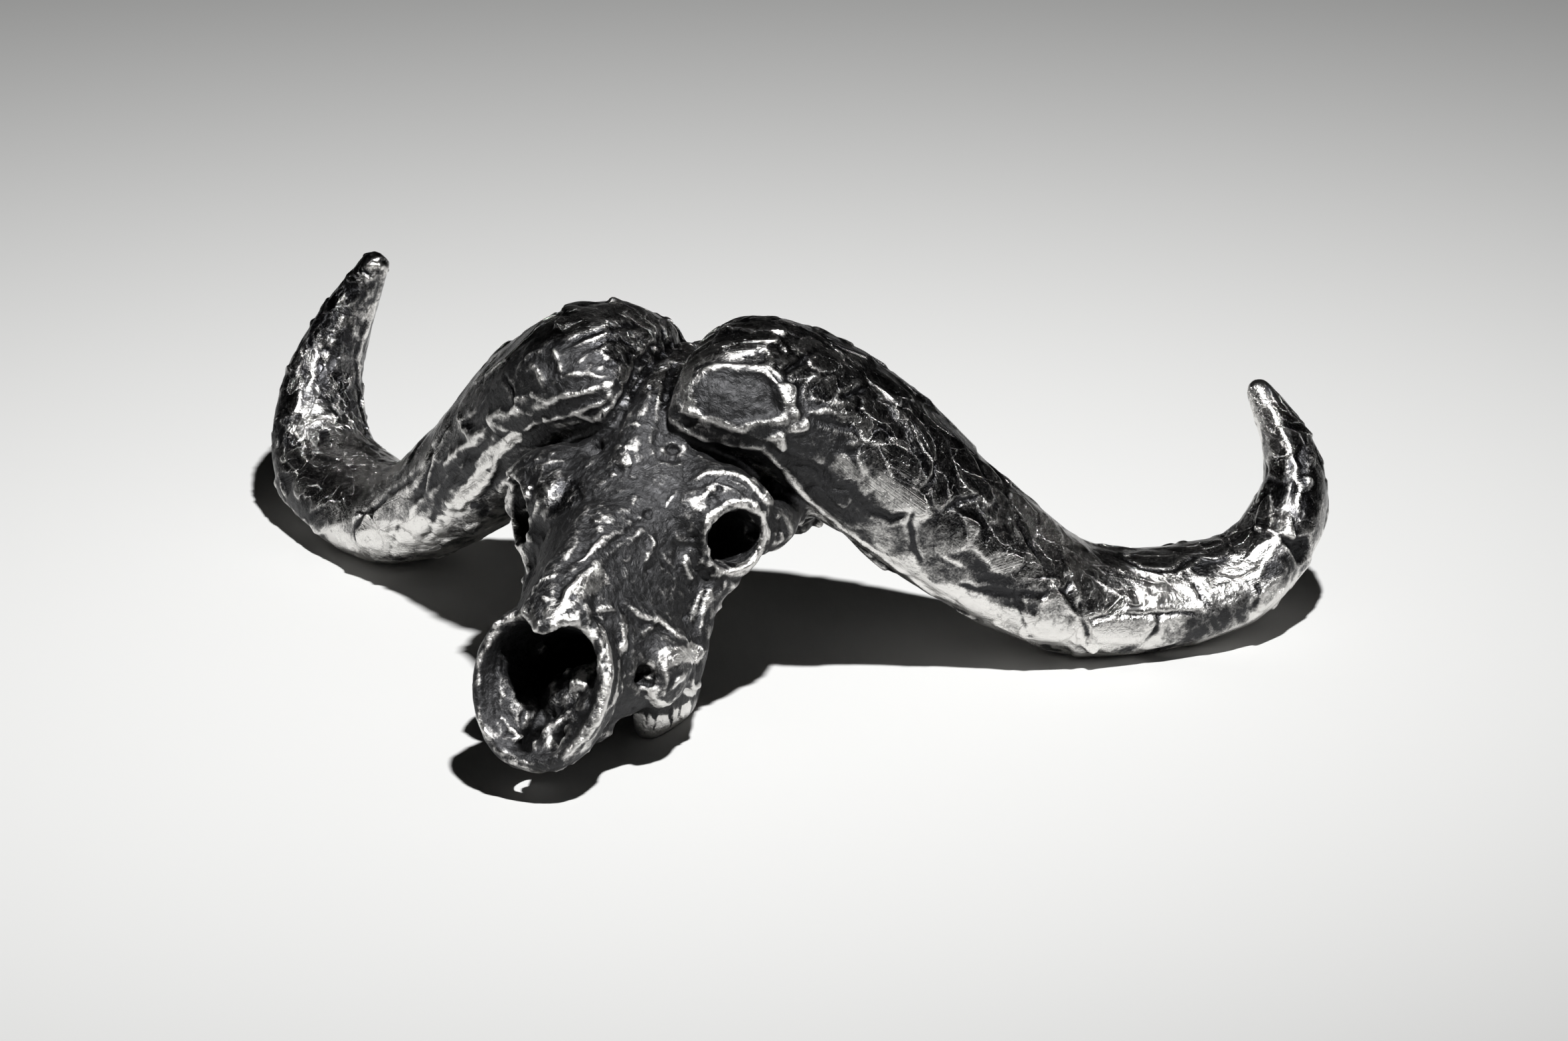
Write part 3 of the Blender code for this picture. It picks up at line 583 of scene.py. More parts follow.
class Clay:
    """A surface while it is worked: its points, the way out at each, and the relief raised on it, in mm."""

    def __init__(self, piece):
        mesh = piece.data
        self.points = read_vectors(mesh.vertices, "co") / MM
        ends = np.empty(len(mesh.edges) * 2, np.int64)
        mesh.edges.foreach_get("vertices", ends)
        self.ends = ends.reshape(-1, 2)
        self.out = self.evened(read_vectors(mesh.vertex_normals, "vector"), WAY_EVENING)
        self.out /= np.maximum(np.linalg.norm(self.out, axis=1, keepdims=True), 1e-9)
        count = len(self.points)
        self.relief = np.zeros(count)
        self.comb = np.zeros(count)
        self.combed = np.zeros(count)
        self.tone_shift = np.zeros(count)
        # Lines drawn by hand wander by about half a millimetre, and are pressed now more and now less
        drift = [lattice_noise(self.points, 2.6, seed) for seed in (21, 22, 23)]
        self.wander = 0.55 * np.stack(drift, axis=1)
        self.pressure = 0.75 + 0.45 * lattice_noise(self.points, 3.4, 24)
        self.by_x = np.argsort(self.points[:, 0], kind="stable")
        self.sorted_x = self.points[self.by_x, 0]
        self.guide = BVHTree.FromObject(piece, bpy.context.evaluated_depsgraph_get())

    def evened(self, values, times):
        """Values at the points, averaged with their neighbours several times."""
        first, second = self.ends[:, 0], self.ends[:, 1]
        size = len(values)
        ways = np.bincount(first, minlength=size) + np.bincount(second, minlength=size)
        columns = values.reshape(size, -1).T.copy()
        for _ in range(times):
            for column in columns:
                total = np.bincount(first, weights=column[second], minlength=size)
                total += np.bincount(second, weights=column[first], minlength=size)
                column[:] = 0.5 * column + 0.5 * total / ways
        return columns.T.reshape(values.shape)

    def near(self, centre, reach):
        """Numbers of the points within a cube about the centre."""
        low = np.searchsorted(self.sorted_x, centre[0] - reach)
        high = np.searchsorted(self.sorted_x, centre[0] + reach)
        picked = self.by_x[low:high]
        gap = np.abs(self.points[picked, 1:] - centre[1:])
        return picked[(gap < reach).all(axis=1)]

    def met(self, start, way):
        """The surface point that a line meets first and the way out there, or nothing if it meets none."""
        hit, out, _, _ = self.guide.ray_cast(Vector(start * MM), Vector(way))
        if hit is None:
            return None
        return np.array(hit) / MM, np.array(out)

    def seen_at(self, pixel):
        """What the camera sees at that pixel of the photograph."""
        place, right, up, back = camera_axes()
        across = (pixel[0] - PHOTO_SIZE[0] / 2.0) / FOCAL_PIXELS
        down = (pixel[1] - PHOTO_SIZE[1] / 2.0) / FOCAL_PIXELS
        return self.met(place, unit(across * right - down * up - back))

    def under(self, point, towards):
        """What a line meets that comes from outside, over a point, towards an inner one."""
        start = point + unit(point - towards) * CLEAR_OF_SKULL
        return self.met(start, unit(towards - start))

    def patches(self, places):
        """For each place named on the photograph: its amount, its points and how far inside they lie."""
        for x, y, end_x, end_y, wide, amount in places:
            start = self.seen_at((x, y))
            end = self.seen_at((end_x, end_y))
            if start is None or end is None:
                continue
            run = end[0] - start[0]
            if np.linalg.norm(run) > LONGEST_PLACE:
                continue
            length = max(np.linalg.norm(run), 1e-3)
            picked = self.near(0.5 * (start[0] + end[0]), 0.5 * length + 2.0 * wide)
            gap = self.points[picked] + 1.2 * self.wander[picked] - start[0]
            t = np.clip(gap @ (run / length), 0.0, length)
            distance = np.linalg.norm(gap - t[:, None] * (run / length), axis=1)
            yield amount, picked, smooth_step((wide - distance) / (0.45 * wide) + 0.5)

    def smear(self, place, out, along, long, wide, lift, flat, crown, shape, combing=0.0, lip=0.0, cover=0.92,
              tone_shift=0.0):
        """One thumb smear: a flattened patch over what lies below, thin at its start, raised at its end."""
        along = unit(along - out * np.dot(along, out))
        across = np.cross(out, along)
        picked = self.near(place, 1.35 * max(long, wide))
        gap = self.points[picked] - place
        deep = gap @ out
        kept = (np.abs(deep) < 0.75 * max(long, wide) + 1.0) & (self.out[picked] @ out > 0.15)
        picked, gap, deep = picked[kept], gap[kept], deep[kept]
        if len(picked) < FEWEST_POINTS:
            return
        a = gap @ along
        b = gap @ across
        # The outline is an oval made uneven by three waves, soft at its start and sharp at its end
        angle = np.arctan2(b / wide, a / long)
        one, two, three = shape
        wobble = 1.0 + 0.12 * np.sin(2.0 * angle + one) + 0.08 * np.sin(3.0 * angle + two)
        wobble += 0.05 * np.sin(5.0 * angle + three)
        radius = np.hypot(a / long, b / wide) * wobble
        start = np.clip(0.5 - 0.5 * a / long, 0.0, 1.0)
        edge = 0.09 + 0.75 * start ** 1.3
        inside = smooth_step((1.0 - radius) / edge)
        # The thumb flattens what it covers, tilts it up towards the end and leaves it a little crowned
        weight = inside.sum() + 1e-6
        level = (inside * self.relief[picked]).sum() / weight
        plane = -deep * flat
        plane -= (inside * plane).sum() / weight
        target = 0.55 * level + lift * (0.5 * a / long) + plane
        target += crown * (0.5 - np.clip((b / wide) ** 2, 0.0, 1.2))
        mixed = inside * cover
        self.relief[picked] = self.relief[picked] * (1.0 - mixed) + target * mixed
        if lip:
            end = np.clip(np.cos(angle), 0.0, 1.0) ** 1.5
            self.relief[picked] += lip * end * np.exp(-((radius - 1.0) / 0.10) ** 2)
        self.comb[picked] = np.where(inside > 0.4, b + 7.0 * one, self.comb[picked])
        self.combed[picked] = np.where(inside > 0.4, combing, self.combed[picked])
        self.tone_shift[picked] = self.tone_shift[picked] * (1.0 - inside) + tone_shift * inside

    def fold(self, kind, height, wide, points):
        """A ridge, a crease or a flap's edge along a line of surface points with their ways out."""
        spots = [spot for spot in points if spot is not None]
        if len(spots) < 2:
            return
        line = np.array([place for place, _ in spots])
        outs = np.array([out for _, out in spots])
        steps = np.linalg.norm(np.diff(line, axis=0), axis=1)
        if steps.max() > LONGEST_FOLD_STEP:
            return
        total = steps.sum()
        picked = self.near(line.mean(axis=0), 0.5 * total + 3.0 * wide + 4.0)
        here = self.points[picked] + self.wander[picked]
        best = np.full(len(picked), 1e9)
        side = np.zeros(len(picked))
        share = np.zeros(len(picked))
        facing = np.zeros(len(picked))
        walked = 0.0
        for k, step in enumerate(steps):
            run = unit(line[k + 1] - line[k])
            gap = here - line[k]
            t = np.clip(gap @ run, 0.0, step)
            off = gap - t[:, None] * run
            distance = np.linalg.norm(off, axis=1)
            nearer = distance < best
            out = unit(outs[k] + outs[k + 1])
            best = np.where(nearer, distance, best)
            side = np.where(nearer, off @ np.cross(out, run), side)
            share = np.where(nearer, (walked + t) / total, share)
            facing = np.where(nearer, self.out[picked] @ out, facing)
            walked += step
        taper = smooth_step(np.minimum(share, 1.0 - share) * total / (2.2 * wide) + 0.25)
        taper *= smooth_step((facing - 0.05) / 0.3) * self.pressure[picked]
        if kind == "step":
            flap = smooth_step(side / 0.7 + 0.5) * np.clip(1.0 - np.abs(side) / wide, 0.0, 1.0)
            foot = -0.35 * np.exp(-((side + 0.7) / 0.8) ** 2)
            close = np.exp(-np.clip(best - np.abs(side), 0.0, None) ** 2)
            self.relief[picked] += height * taper * close * (flap + foot)
            self.tone_shift[picked] += 0.4 * taper * close * np.exp(-((side - 0.4) / 0.7) ** 2)
        elif kind == "ridge":
            profile = np.clip(1.0 - best / (1.6 * wide), 0.0, 1.0) ** 2.2
            self.relief[picked] += height * taper * profile
            self.tone_shift[picked] += 0.5 * taper * profile ** 2
        else:
            profile = np.clip(1.0 - best / (1.05 * wide), 0.0, 1.0) ** 1.3
            shoulder = 0.3 * np.exp(-((best - 1.3 * wide) / (0.6 * wide)) ** 2)
            self.relief[picked] += height * taper * (shoulder - profile)
            self.tone_shift[picked] -= 0.6 * taper * profile

    def settle(self, piece):
        """Moves the points out by the relief, kept on the table and inside the part's own box."""
        places = (self.points + self.out * self.relief[:, None]) * MM
        places = np.clip(places, np.array(cad_box[0]), np.array(cad_box[1]))
        piece.data.vertices.foreach_set("co", places.ravel())
        piece.data.update()


def new_clay_casting(node):
    """A fine-grained copy of the part's solid with its lumps put on, ready to be worked."""
    casting = node.copy()
    casting.data = node.data.copy()
    casting.name = "skull_casting"
    casting.data.name = "skull_casting"
    bpy.context.scene.collection.objects.link(casting)
    world = casting.matrix_world.copy()
    casting.parent = None
    casting.data.transform(world)
    casting.matrix_world.identity()
    lumps = []
    for middle, radius in LUMPS:
        bpy.ops.mesh.primitive_uv_sphere_add(segments=64, ring_count=32, radius=radius * MM,
                                             location=tuple(np.array(middle) * MM))
        lumps.append(bpy.context.object)
    take(casting)
    for lump in lumps:
        lump.select_set(True)
    bpy.ops.object.join()
    bpy.ops.object.mode_set(mode="EDIT")
    bpy.ops.mesh.select_all(action="SELECT")
    bpy.ops.mesh.remove_doubles(threshold=1e-6)
    bpy.ops.object.mode_set(mode="OBJECT")
    finish_with(casting, "REMESH", mode="VOXEL", voxel_size=CLAY_GRAIN * MM, adaptivity=0.0)
    finish_with(casting, "SMOOTH", factor=0.5, iterations=10)
    return casting


def along_horn(stations, position):
    """The horn's middle line, its direction and its half thickness at a position counted in stations."""
    left = min(int(position), len(stations) - 2)
    t = position - left
    here = np.array(stations[left], float)
    there = np.array(stations[left + 1], float)
    mixed = here * (1.0 - t) + there * t
    return mixed[:3] + DRAWN_CENTRE, unit(there[:3] - here[:3]), mixed[3]


def uneven_outline(chance):
    """Three turns taken by chance, which make a smear's outline uneven."""
    return [chance.uniform(0.0, 6.28) for _ in range(3)]


def smear_horn(clay, stations, count, seed, broad, narrow):
    """Covers a horn in overlapping smears, broad ones first, most of them running along it."""
    chance = random.Random(seed)
    for k in range(count):
        position = chance.uniform(0.0, 1.0) * (len(stations) - 1)
        middle, run, thick = along_horn(stations, position)
        turn = 2.0 * math.pi * chance.random()
        side = unit(np.cross(run, np.array((0.0, 0.0, 1.0))))
        rise = np.cross(side, run)
        aim = side * math.cos(turn) + rise * math.sin(turn)
        spot = clay.under(middle + aim * thick, middle)
        if spot is None:
            continue
        place, out = spot
        bend = math.radians(chance.gauss(0.0, 32.0))
        sign = 1.0 if chance.random() < 0.6 else -1.0
        along = sign * (run * math.cos(bend) + np.cross(out, run) * math.sin(bend))
        size = 0.2 + 0.8 * thick / 19.0
        wide = size * (broad + (narrow - broad) * k / count) * chance.uniform(0.8, 1.15)
        long = wide * chance.uniform(1.5, 2.8)
        shape = uneven_outline(chance)
        lift = size * chance.uniform(0.3, 1.0) * min(1.2, 0.1 + 0.25 * wide)
        flat = min(1.0, 1.5 * thick / wide ** 2) * chance.uniform(0.6, 1.0)
        combing = 0.2 + 0.8 * chance.random() ** 2
        lip = size * max(0.0, chance.gauss(0.04, 0.1))
        tone_shift = chance.gauss(0.0, 0.16)
        crown = chance.uniform(-0.2, 0.25) * size
        clay.smear(place, out, along, long, wide, lift, flat, crown, shape, combing, lip, tone_shift=tone_shift)


def head_spot(clay, chance):
    """A place on the head's surface, taken by chance."""
    middle = HEAD_MIDDLES[chance.randrange(len(HEAD_MIDDLES))] + DRAWN_CENTRE
    middle = middle + np.array([chance.gauss(0.0, 6.0), chance.gauss(0.0, 9.0), chance.gauss(0.0, 6.0)])
    aim = unit(np.array([chance.gauss(0.0, 1.0) for _ in range(3)]))
    spot = clay.under(middle + aim * 30.0, middle)
    if spot is None or (spot[0] < HEAD_LOW).any() or (spot[0] > HEAD_HIGH).any():
        return None
    return spot


def dab_head(clay, count, seed, lengths, lifts, lip):
    """Covers the head in dabs of clay, long ones first, most of them running towards the snout."""
    chance = random.Random(seed)
    for k in range(count):
        spot = head_spot(clay, chance)
        if spot is None:
            continue
        place, out = spot
        along = unit(np.array((chance.gauss(0.0, 0.6), -1.0, chance.gauss(0.0, 0.6))))
        long = (lengths[0] + (lengths[1] - lengths[0]) * k / count) * chance.uniform(0.8, 1.2)
        wide = long * chance.uniform(0.35, 0.7)
        shape = uneven_outline(chance)
        lift = chance.uniform(*lifts) * (0.4 + 0.08 * long)
        crown = chance.uniform(-0.2, 0.2)
        edge = max(0.0, chance.gauss(lip, 0.8 * lip))
        combing = 0.7 * chance.random() ** 2
        tone_shift = chance.gauss(0.0, 0.1)
        clay.smear(place, out, along, long, wide, lift, 0.5, crown, shape, combing, edge, 0.85, tone_shift)


def pit_head(clay):
    """Presses small pits into the head by chance, and the larger ones that the photograph shows."""
    chance = random.Random(HEAD_PITS_SEED)
    spots = [(clay.seen_at((x, y)), wide, deep) for x, y, wide, deep in PHOTO_PITS]
    for _ in range(HEAD_PITS):
        spots.append((head_spot(clay, chance), chance.uniform(0.5, 1.1), chance.uniform(0.4, 1.0)))
    for spot, wide, deep in spots:
        if spot is None:
            continue
        picked = clay.near(spot[0], 4.0 * wide)
        gap = clay.points[picked] + 0.9 * clay.wander[picked] - spot[0]
        radius = np.linalg.norm(gap, axis=1) / wide
        clay.relief[picked] -= deep * np.exp(-radius ** 4)
        clay.tone_shift[picked] -= 0.7 * np.exp(-(radius / 1.6) ** 2)


def work_photo_marks(clay):
    """The folds and smears that the photograph shows, each at its own place."""
    chance = random.Random(PHOTO_SMEARS_SEED)
    for x, y, end_x, end_y, wide, lift, combing in PHOTO_SMEARS:
        spot = clay.seen_at((x, y))
        end = clay.seen_at((end_x, end_y))
        if spot is None or end is None:
            continue
        run = end[0] - spot[0]
        long = min(np.linalg.norm(run), 3.0 * wide)
        lifted = SMEAR_STRENGTH * lift
        shape = uneven_outline(chance)
        clay.smear(*spot, run, long, wide, lifted, 0.4, 0.5, shape, combing, 0.15, cover=1.0)
    for group in (LEFT_BOSS, LEFT_FLANK, LEFT_HORN, BRIDGE, RIGHT_BOSS, RIGHT_HORN, FACE):
        for kind, height, wide, pixels in group:
            places = [clay.seen_at(pixel) for pixel in pixels]
            clay.fold(kind, height * FOLD_STRENGTH[kind], FOLD_WIDTH * wide, places)


def paint_wear_and_light_spots(clay):
    """The places shown brighter or darker than what lies about them in the photograph: wear and patina, and
    painted reflection, highlight and shade.
    """
    for amount, picked, inside in clay.patches(WEAR_AND_LIGHT_SPOTS):
        clay.tone_shift[picked] += amount * inside
        clay.gloss[picked] = np.maximum(clay.gloss[picked], min(amount, SPOT_WAX) * inside)


def smooth_photo_spots(clay):
    """The places that the thumb smoothed, the smoothest of them rubbed and waxed as well."""
    for amount, picked, inside in clay.patches(SMOOTHED_SPOTS):
        clay.relief[picked] *= 1.0 - amount * inside
        if amount > WAXED_FROM:
            clay.gloss[picked] = np.maximum(clay.gloss[picked], SPOT_WAX * inside)
            clay.rubbed[picked] += 0.2 * inside


def press_oval(clay):
    """A shallow oval pressed into the front of one boss, with the clay pushed up round it."""
    x, y, end_x, end_y, wide, depth, rim = PRESSED_OVAL
    place, out = clay.seen_at((x, y))
    end, _ = clay.seen_at((end_x, end_y))
    along = end - place
    long = np.linalg.norm(along)
    along = unit(along - out * np.dot(along, out))
    across = np.cross(out, along)
    picked = clay.near(place, 1.9 * long)
    gap = clay.points[picked] - place
    kept = (np.abs(gap @ out) < 9.0) & (clay.out[picked] @ out > 0.2)
    picked, gap = picked[kept], gap[kept]
    angle = np.arctan2(gap @ across / wide, gap @ along / long)
    radius = np.hypot(gap @ along / long, gap @ across / wide)
    radius *= 1.0 + 0.07 * np.sin(3.0 * angle + 0.6) + 0.05 * np.sin(5.0 * angle)
    inside = smooth_step((1.06 - radius) / 0.22)
    uneven = 0.8 + 0.3 * np.sin(angle - 0.4) + 0.35 * np.sin(3.0 * angle + 1.0) + 0.2 * np.sin(7.0 * angle)
    ring = np.exp(-((radius - 1.20) / 0.13) ** 2) * np.clip(uneven, 0.0, None)
    floor = np.clip(-0.7 * (gap @ out) - depth, -MOST_SUNK, 0.2)
    floor += 0.3 * lattice_noise(clay.points[picked], 2.2, 31)
    clay.relief[picked] *= 1.0 - 0.8 * np.exp(-(radius / 1.4) ** 4)
    clay.relief[picked] += rim * ring
    clay.relief[picked] += inside * (floor - clay.relief[picked])
    clay.relief[picked] += 0.5 * inside * lattice_noise(clay.points[picked], 4.5, 32)
    clay.tone_shift[picked] = (0.1 * ring - 0.75 * inside) * (radius < 2.0)
    clay.combed[picked] *= 1.0 - 0.85 * inside


def grain_of(clay):
    """The slow unevenness of hand-built clay, and the crumbs and fine grain left on it, most on the head."""
    slow = 0.40 * lattice_noise(clay.points, 17.0, 1) + 0.22 * lattice_noise(clay.points, 8.0, 2)
    crumbs = 0.30 * (0.3 - np.abs(lattice_noise(clay.points, 3.2, 3)))
    crumbs += 0.22 * (0.3 - np.abs(lattice_noise(clay.points, 1.7, 4)))
    fine = 0.25 * crumbs * np.clip(1.0 - clay.rubbed, 0.0, 1.0) + 0.03 * lattice_noise(clay.points, 1.3, 8)
    return slow, fine


def limit_marks(clay):
    """Holds the marks within their limits, and takes nothing off the feet, so that they stay on the table."""
    foot = (clay.points[:, 2] < FOOT_HEIGHT) & (clay.out[:, 2] < -0.4)
    relief = np.where(foot, np.maximum(clay.relief, 0.0), clay.relief)
    relief = np.where(relief > 0.0, MOST_RAISED * np.tanh(relief / MOST_RAISED), relief)
    clay.relief = np.maximum(relief, -MOST_SUNK)


def standing_proud(clay, casting):
    """How far each point stands out from the surface close by and more widely, in mm, and its way out."""
    places = read_vectors(casting.data.vertices, "co") / MM
    outward = read_vectors(casting.data.vertex_normals, "vector")
    close = clay.evened(((places - clay.evened(places, CLOSE_EVENING)) * outward).sum(axis=1), 2)
    wide = ((places - clay.evened(places, WIDE_EVENING)) * outward).sum(axis=1)
    return close, wide, outward


def rubbed_back(clay):
    """How bright each point is rubbed, the low bends most, with painted reflection on the horns' low sides,
    and how glossy it is waxed.
    """
    amount = np.full(len(clay.points), HEAD_RUBBING)
    gloss = np.zeros(len(clay.points))
    patches = 1.5 * lattice_noise(clay.points, 7.0, 41) + 1.6 * lattice_noise(clay.points, 2.4, 42)
    for stations, low_most, tip, flank in HORN_WEAR_AND_LIGHT:
        torn = low_most * np.clip(0.7 + patches, 0.05, 1.3)
        for k in range(HORN_STEPS + 1):
            middle, _, thick = along_horn(stations, (len(stations) - 1) * k / HORN_STEPS)
            distance = np.linalg.norm(clay.points - middle, axis=1)
            share = k / HORN_STEPS
            bend = smooth_step((share - 0.30) / 0.2) - smooth_step((share - 0.62) / 0.12)
            # The lower side is brightened by rubbing and by painted reflection of the lit paper; between the
            # boss and the bend only its lower edge is
            start = 0.05 - flank * (1.0 - smooth_step((share - 0.36) / 0.16))
            low = torn * smooth_step((start - clay.out[:, 2]) / 0.4)
            plain = 0.45 + (tip - 0.45) * smooth_step((share - 0.58) / 0.12)
            strength = plain + 0.20 * bend + low * smooth_step((share - 0.05) / 0.1) * (0.7 + 0.3 * bend)
            inside = smooth_step((1.2 * thick + 3.0 - distance) / 4.0)
            amount = np.maximum(amount, strength * inside)
            gloss = np.maximum(gloss, inside)
    return amount, gloss


def work_casting(node):
    """The whole casting: fine clay, its unevenness, smears, pressed and pinched marks, then the pieces."""
    casting = new_clay_casting(node)
    clay = Clay(casting)
    clay.rubbed, clay.gloss = rubbed_back(clay)
    # So far the gloss covers the horns alone, and tells their points from the head's
    horns = clay.gloss > HORN_CLOSENESS
    slow, fine = grain_of(clay)
    clay.relief += slow
    for smears in HORN_SMEARS:
        smear_horn(clay, *smears)
    for dabs in HEAD_DABS:
        dab_head(clay, *dabs)
    pit_head(clay)
    smooth_photo_spots(clay)
    press_oval(clay)
    work_photo_marks(clay)
    paint_wear_and_light_spots(clay)
    clay.relief += fine
    limit_marks(clay)
    clay.relief = clay.evened(clay.relief, 1)
    clay.settle(casting)

    close, wide, outward = standing_proud(clay, casting)
    mesh = casting.data
    store(mesh, "close_relief", close)
    store(mesh, "wide_relief", wide)
    store(mesh, "comb", clay.comb)
    store(mesh, "combed", clay.combed)
    # Rubbing and patina together with painted reflection, highlight and shade, as one brightness
    store(mesh, "rubbed", clay.rubbed + clay.tone_shift)
    store(mesh, "waxed", clay.gloss * np.clip(1.0 + clay.tone_shift, 0.5, 1.0))
    layer = mesh.attributes.new("way_out", "FLOAT_VECTOR", "POINT")
    layer.data.foreach_set("vector", np.ascontiguousarray(outward.ravel(), dtype=np.float32))
    take(casting)
    bpy.ops.object.shade_smooth()
    return part_casting(clay, casting, horns)


def part_casting(clay, casting, horns):
    """The one casting as four closed pieces, each light enough to keep its fine grain."""
    corners = np.empty(len(casting.data.loops), np.int32)
    casting.data.loops.foreach_get("vertex_index", corners)
    corners = corners.reshape(-1, 4)
    faces = {}
    for name, side in (("skull_near_horn", 1.0), ("skull_far_horn", -1.0)):
        mirror = np.array((side, 1.0, 1.0))
        along = (clay.points - DRAWN_CENTRE - CUT_PLACE * mirror) @ unit(CUT_WAY * mirror)
        horn = (along > CUT_SHIFT) & horns & (clay.points[:, 0] * side > CUT_FROM)
        faces[name] = horn[corners].all(axis=1)
    head = ~(faces["skull_near_horn"] | faces["skull_far_horn"])
    faces["skull_crown"] = head & (clay.points[:, 1] > HEAD_CUT)[corners].all(axis=1)
    faces["skull_face"] = head & ~faces["skull_crown"]
    pieces = [cut_out(casting, name, faces[name]) for name in PIECE_NAMES]
    bpy.data.objects.remove(casting)
    return pieces


def cut_out(casting, name, faces):
    """One closed piece of the casting, with the shading of the whole."""
    piece = casting.copy()
    piece.data = casting.data.copy()
    piece.name = name
    piece.data.name = name
    bpy.context.scene.collection.objects.link(piece)
    take(piece)
    bpy.ops.object.mode_set(mode="EDIT")
    bpy.ops.mesh.select_mode(type="FACE")
    bpy.ops.mesh.select_all(action="DESELECT")
    bpy.ops.object.mode_set(mode="OBJECT")
    piece.data.polygons.foreach_set("select", ~faces)
    bpy.ops.object.mode_set(mode="EDIT")
    bpy.ops.mesh.delete(type="FACE")
    # The cut's edge is turned inwards before it is closed, so that no closing face shows outside
    bpy.ops.mesh.select_mode(type="EDGE")
    bpy.ops.mesh.select_non_manifold(extend=False, use_wire=False, use_boundary=True, use_multi_face=False,
                                     use_non_contiguous=False, use_verts=False)
    bpy.ops.mesh.extrude_edges_move()
    bpy.ops.object.mode_set(mode="OBJECT")
    turned = np.empty(len(piece.data.vertices), bool)
    piece.data.vertices.foreach_get("select", turned)
    ways = read_vectors(piece.data.attributes["way_out"].data, "vector", np.float32)
    places = read_vectors(piece.data.vertices, "co", np.float32)
    places[turned] -= LIP_DEPTH * MM * ways[turned]
    piece.data.vertices.foreach_set("co", places.ravel())
    bpy.ops.object.mode_set(mode="EDIT")
    bpy.ops.mesh.select_all(action="SELECT")
    bpy.ops.mesh.fill_holes(sides=0)
    bpy.ops.object.mode_set(mode="OBJECT")
    piece.data.attributes.remove(piece.data.attributes["way_out"])
    piece.data.normals_split_custom_set_from_vertices(ways.tolist())
    return piece


# Materials

def add_node(tree, kind, inputs=None, **settings):
    """One shader node with its settings, and its inputs set to values or linked to sockets."""
    node = tree.nodes.new(kind)
    for name, value in settings.items():
        setattr(node, name, value)
    for socket, value in (inputs or {}).items():
        if isinstance(value, bpy.types.NodeSocket):
            tree.links.new(value, node.inputs[socket])
        else:
            node.inputs[socket].default_value = value
    return node


def new_material(name):
    material = bpy.data.materials.new(name)
    material.use_nodes = True
    tree = material.node_tree
    tree.nodes.clear()
    output = tree.nodes.new("ShaderNodeOutputMaterial")
    shader = tree.nodes.new("ShaderNodeBsdfPrincipled")
    tree.links.new(shader.outputs["BSDF"], output.inputs["Surface"])
    return material, tree, shader


